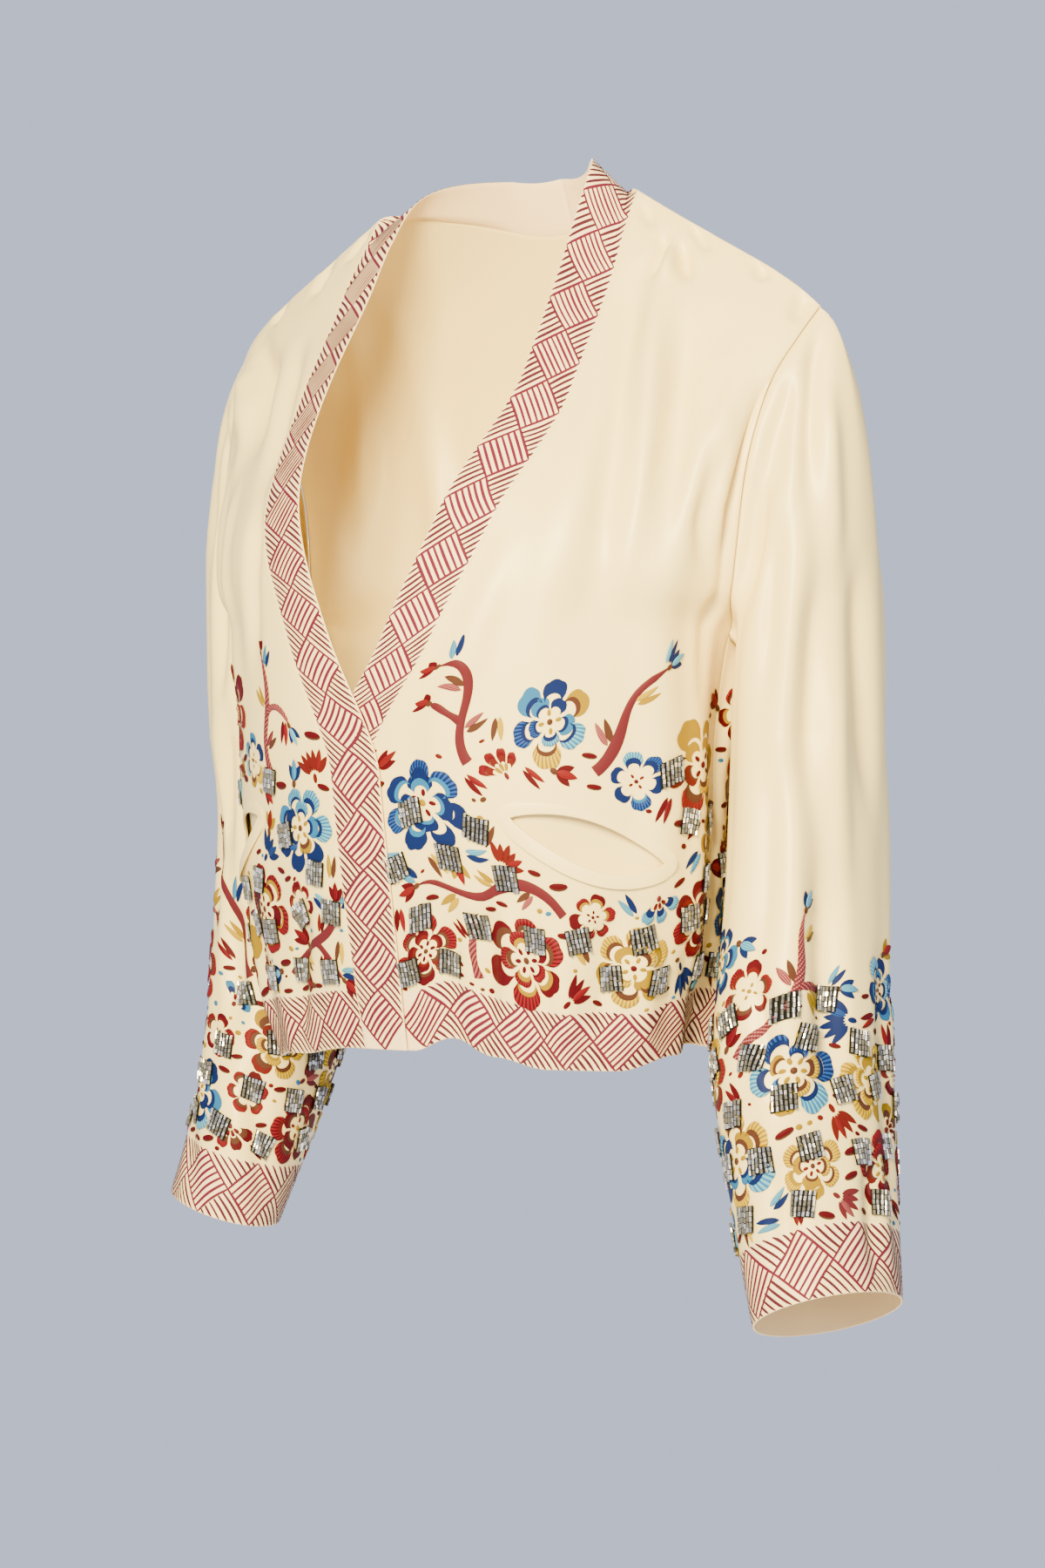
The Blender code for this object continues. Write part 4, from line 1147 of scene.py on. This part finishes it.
slit, first, last = row_index[POCKET_ROW], int(POCKET_FIRST / COLUMN_STEP), int(POCKET_LAST / COLUMN_STEP)
for name, side in SIDES:
    upper, lower = fronts[side]["upper"], fronts[side]["lower"]
    width = len(COLUMNS)
    points = np.concatenate([lower.reshape(-1, 3), upper[slit, first + 1 : last]])
    lip = {slit * width + c: lower.shape[0] * width + c - first - 1 for c in range(first + 1, last)}
    faces = []
    for number, face in enumerate(grid_faces(*lower.shape[:2])):
        if number // (width - 1) == slit:
            face = tuple(lip.get(corner, corner) for corner in face)
        faces.append(face[::side])
    border = np.concatenate([lengths(lower).ravel() - HEM_BORDER, np.full(last - first - 1, 0.1)])
    add_cloth("front_" + name, points, faces, "body_silk", border)
    strip = smoothed(band_points(side), len(PLACES) - 1, 18)
    add_cloth("band_" + name, strip, grid_faces(*strip.shape[:2], way=-side), "band_silk")
    fronts[side]["band"] = strip
add_cloth("back", back, grid_faces(*back.shape[:2]), "body_silk", lengths(back) - HEM_BORDER)



def lips(above, below):
    """A slit's values in a loop: along its upper lip and back along the lower."""
    return np.concatenate([above[slit, first : last + 1], below[slit, last - 1 : first : -1]])


# Pockets: binding round each slit and the bag behind it
for name, side in SIDES:
    upper, lower = fronts[side]["upper"], fronts[side]["lower"]
    loop, outside = lips(upper, lower), lips(grid_normals(upper, side), grid_normals(lower, side))
    count = len(loop)
    tangent = unit(np.roll(loop, -1, axis=0) - np.roll(loop, 1, axis=0))
    away = side * unit(np.cross(outside, tangent))
    inners, aways, normals = [], [], []
    for number in range(count):
        steps = WELT_CORNER_STEPS if number in (0, last - first) else 1
        before, after = away[number - 1], away[(number + 1) % count]
        for step in range(steps):
            share = (step + 0.5) / steps
            way = away[number]
            if steps > 1:
                way = before * (1 - share) + after * share + way * hump(share, 0.5, 0.5)
            inners.append(loop[number])
            aways.append(unit(way))
            normals.append(outside[number])
    inners, aways, normals = np.array(inners), np.array(aways), np.array(normals)
    welt = np.stack([inners + reach * aways + height * normals for reach, height in WELT_PROFILE], axis=1)
    faces, wide = [], len(WELT_PROFILE)
    for a in range(len(welt)):
        b = (a + 1) % len(welt)
        for k in range(wide - 1):
            faces.append((a * wide + k, b * wide + k, b * wide + k + 1, a * wide + k + 1)[::side])
    add_cloth("pocket_welt_" + name, welt, faces, "pocket_silk", thickness=WELT_CLOTH)
    bag_row, bag_column = np.meshgrid(*[np.linspace(*BAG_SPAN, BAG_POINTS)] * 2, indexing="ij")
    place = bag_row / ROWS_PER_SECTION
    turn = side * panel_turn(side, place, bag_column)
    hollow = BAG_DEPTH[side] * hump(bag_row, 6.5, 3.5) * hump(bag_column, 6.5, 3.5)
    inward = vectors(-np.sin(turn), np.cos(turn), 0.0)
    bag = torso(FRONT, turn, place) + (WALL + 2 * SEAM_GAP + hollow)[..., None] * inward
    bag += at(fronts[side]["shift"], bag_row / ROW_STEP, bag_column / COLUMN_STEP)
    add_cloth("pocket_bag_" + name, bag, grid_faces(*bag.shape[:2], way=side), "pocket_silk")
    fronts[side]["bag"] = bag

# Sleeves
sleeves = {}
for name, side in SIDES:
    points = sleeve_points(side)
    count = points.shape[1]
    normals = grid_normals(points, -side, closed=True)
    creases = indexed(
        SLEEVE_CREASES[side], lambda share, angle: (share * (len(points) - 1), angle / 360 * count)
    )
    fade = ease(np.arange(len(points)), 0, 5)[:, None] * np.ones(count)
    sunk = SEAM_SINK * (1 - ease(np.arange(len(points)), 0, 2.5))
    points = (creased(points, normals, creases, fade) - sunk[:, None, None] * normals)[::-1]
    faces = grid_faces(*points.shape[:2], closed=True, way=side)
    add_cloth("sleeve_" + name, points, faces, "body_silk", lengths(points) - CUFF_BORDER)
    rolled = points if side == LEFT else points[:, ::-1]
    pad = count // 3
    padded = np.concatenate([rolled[:, -pad:], rolled, rolled[:, : pad + 1]], axis=1)
    surface = Surface(padded[:PRINT_RINGS], GIRTH_RING, pad)
    sleeves[side] = (surface, float(surface.along[pad + count]), points)

# Hatched borders
hem_pairs = round(body_end / HEM_BORDER)
trims = {"back": [hatch("hem_hatch", body, 0.001, body_end - 0.002, HEM_BORDER, hem_pairs, 11)]}
for name, side in SIDES:
    strip = Strip(fronts[side]["band"], -side)
    reach, pairs = strip.along[-1] - 0.001, round(strip.along[-1] / (1.05 * BAND_WIDTH))
    band = hatch("band_hatch_" + name, strip, 0.0005, reach, BAND_WIDTH, pairs, 12 + side)
    surface, girth, _ = sleeves[side]
    pairs = round(girth / CUFF_BORDER)
    cuff = hatch("cuff_hatch_" + name, surface, 0.0, girth, CUFF_BORDER, pairs, 16 + side)
    trims.update({"band_" + name: [band], "sleeve_" + name: [cuff]})

# Floral print and beads
pocket_circles = []
for c in range(first, last + 1):
    for k in (c, len(body.along) - 1 - c):
        for height in np.linspace(body.up[slit, k], body.up[slit + 1, k], 5):
            pocket_circles.append((body.along[k], height, POCKET_CLEAR))
for name, surface, start, end, low, beads_top, seed in (
    ("front_left", body, 0.0, left_end, HEM_BORDER, 0.185, 21),
    ("back", body, left_end, right_start, HEM_BORDER, 0.185, 22),
    ("front_right", body, right_start, body_end, HEM_BORDER, 0.185, 23),
    ("sleeve_left", sleeves[LEFT][0], 0.0, sleeves[LEFT][1], CUFF_BORDER, 0.195, 31),
    ("sleeve_right", sleeves[RIGHT][0], 0.0, sleeves[RIGHT][1], CUFF_BORDER, 0.195, 32),
):
    limits = {"keep_out": pocket_circles} if surface is body else {"period": end}
    layer = Layer("print_" + name, surface, paints)
    Florals(layer, low, PRINT_TOP, start, end, seed, **limits).scatter((end - start) / PRINT_WIDTH)
    squares = bead_places(start, end, low, beads_top, seed, **limits)
    trims.setdefault(name, []).extend([layer.laid(), bead_squares("beads_" + name, surface, squares, seed)])

# Floor, light and camera
floor_mesh = bpy.data.meshes.new("floor")
corners = [(FLOOR_HALF * x, FLOOR_HALF * y, FLOOR_Z) for x, y in ((-1, -1), (1, -1), (1, 1), (-1, 1))]
floor_mesh.from_pydata(corners, [], [(0, 1, 2, 3)])
floor_mesh.materials.append(principled("floor_pale", (0.72, 0.73, 0.75), 0.8))
floor = add_object("floor", floor_mesh)

world = bpy.data.worlds.new("studio")
world.use_nodes = True
sky = world.node_tree.nodes["Background"].inputs
sky["Color"].default_value = (0.68, 0.753, 0.976, 1)
sky["Strength"].default_value = 1.0
bpy.context.scene.world = world


def add_light(name, position, target, size, power, colour):
    lamp = bpy.data.lights.new(name, "AREA")
    lamp.shape, lamp.size, lamp.energy, lamp.color = "SQUARE", size, power, colour
    holder = add_object(name, lamp)
    holder.location = position
    way = np.array(target) - np.array(position)
    tilt, turn = math.acos(-way[2] / np.linalg.norm(way)), math.atan2(way[1], way[0]) - math.pi / 2
    holder.rotation_euler = (tilt, 0, turn)


add_light("key", (0.73, -1.64, 0.30), (0, 0, -0.3), 0.6, 180, (1.0, 0.81, 0.41))
add_light("fill", (2.6, -0.6, 0.3), (0, 0, -0.35), 1.4, 30, (1.0, 0.81, 0.44))
add_light("back", (-1.79, 2.28, 0.7), (0, 0, -0.3), 1.4, 170, (1.0, 0.81, 0.46))

lens = bpy.data.cameras.new("camera")
lens.lens, lens.sensor_width, lens.shift_x = 91.2, 36, 0.01667
camera = add_object("camera", lens)
camera.location = (CAMERA_AWAY * math.sin(AZIMUTH), -CAMERA_AWAY * math.cos(AZIMUTH), CAMERA_Z)
camera.rotation_euler = (math.pi / 2, 0, AZIMUTH)
bpy.context.scene.camera = camera
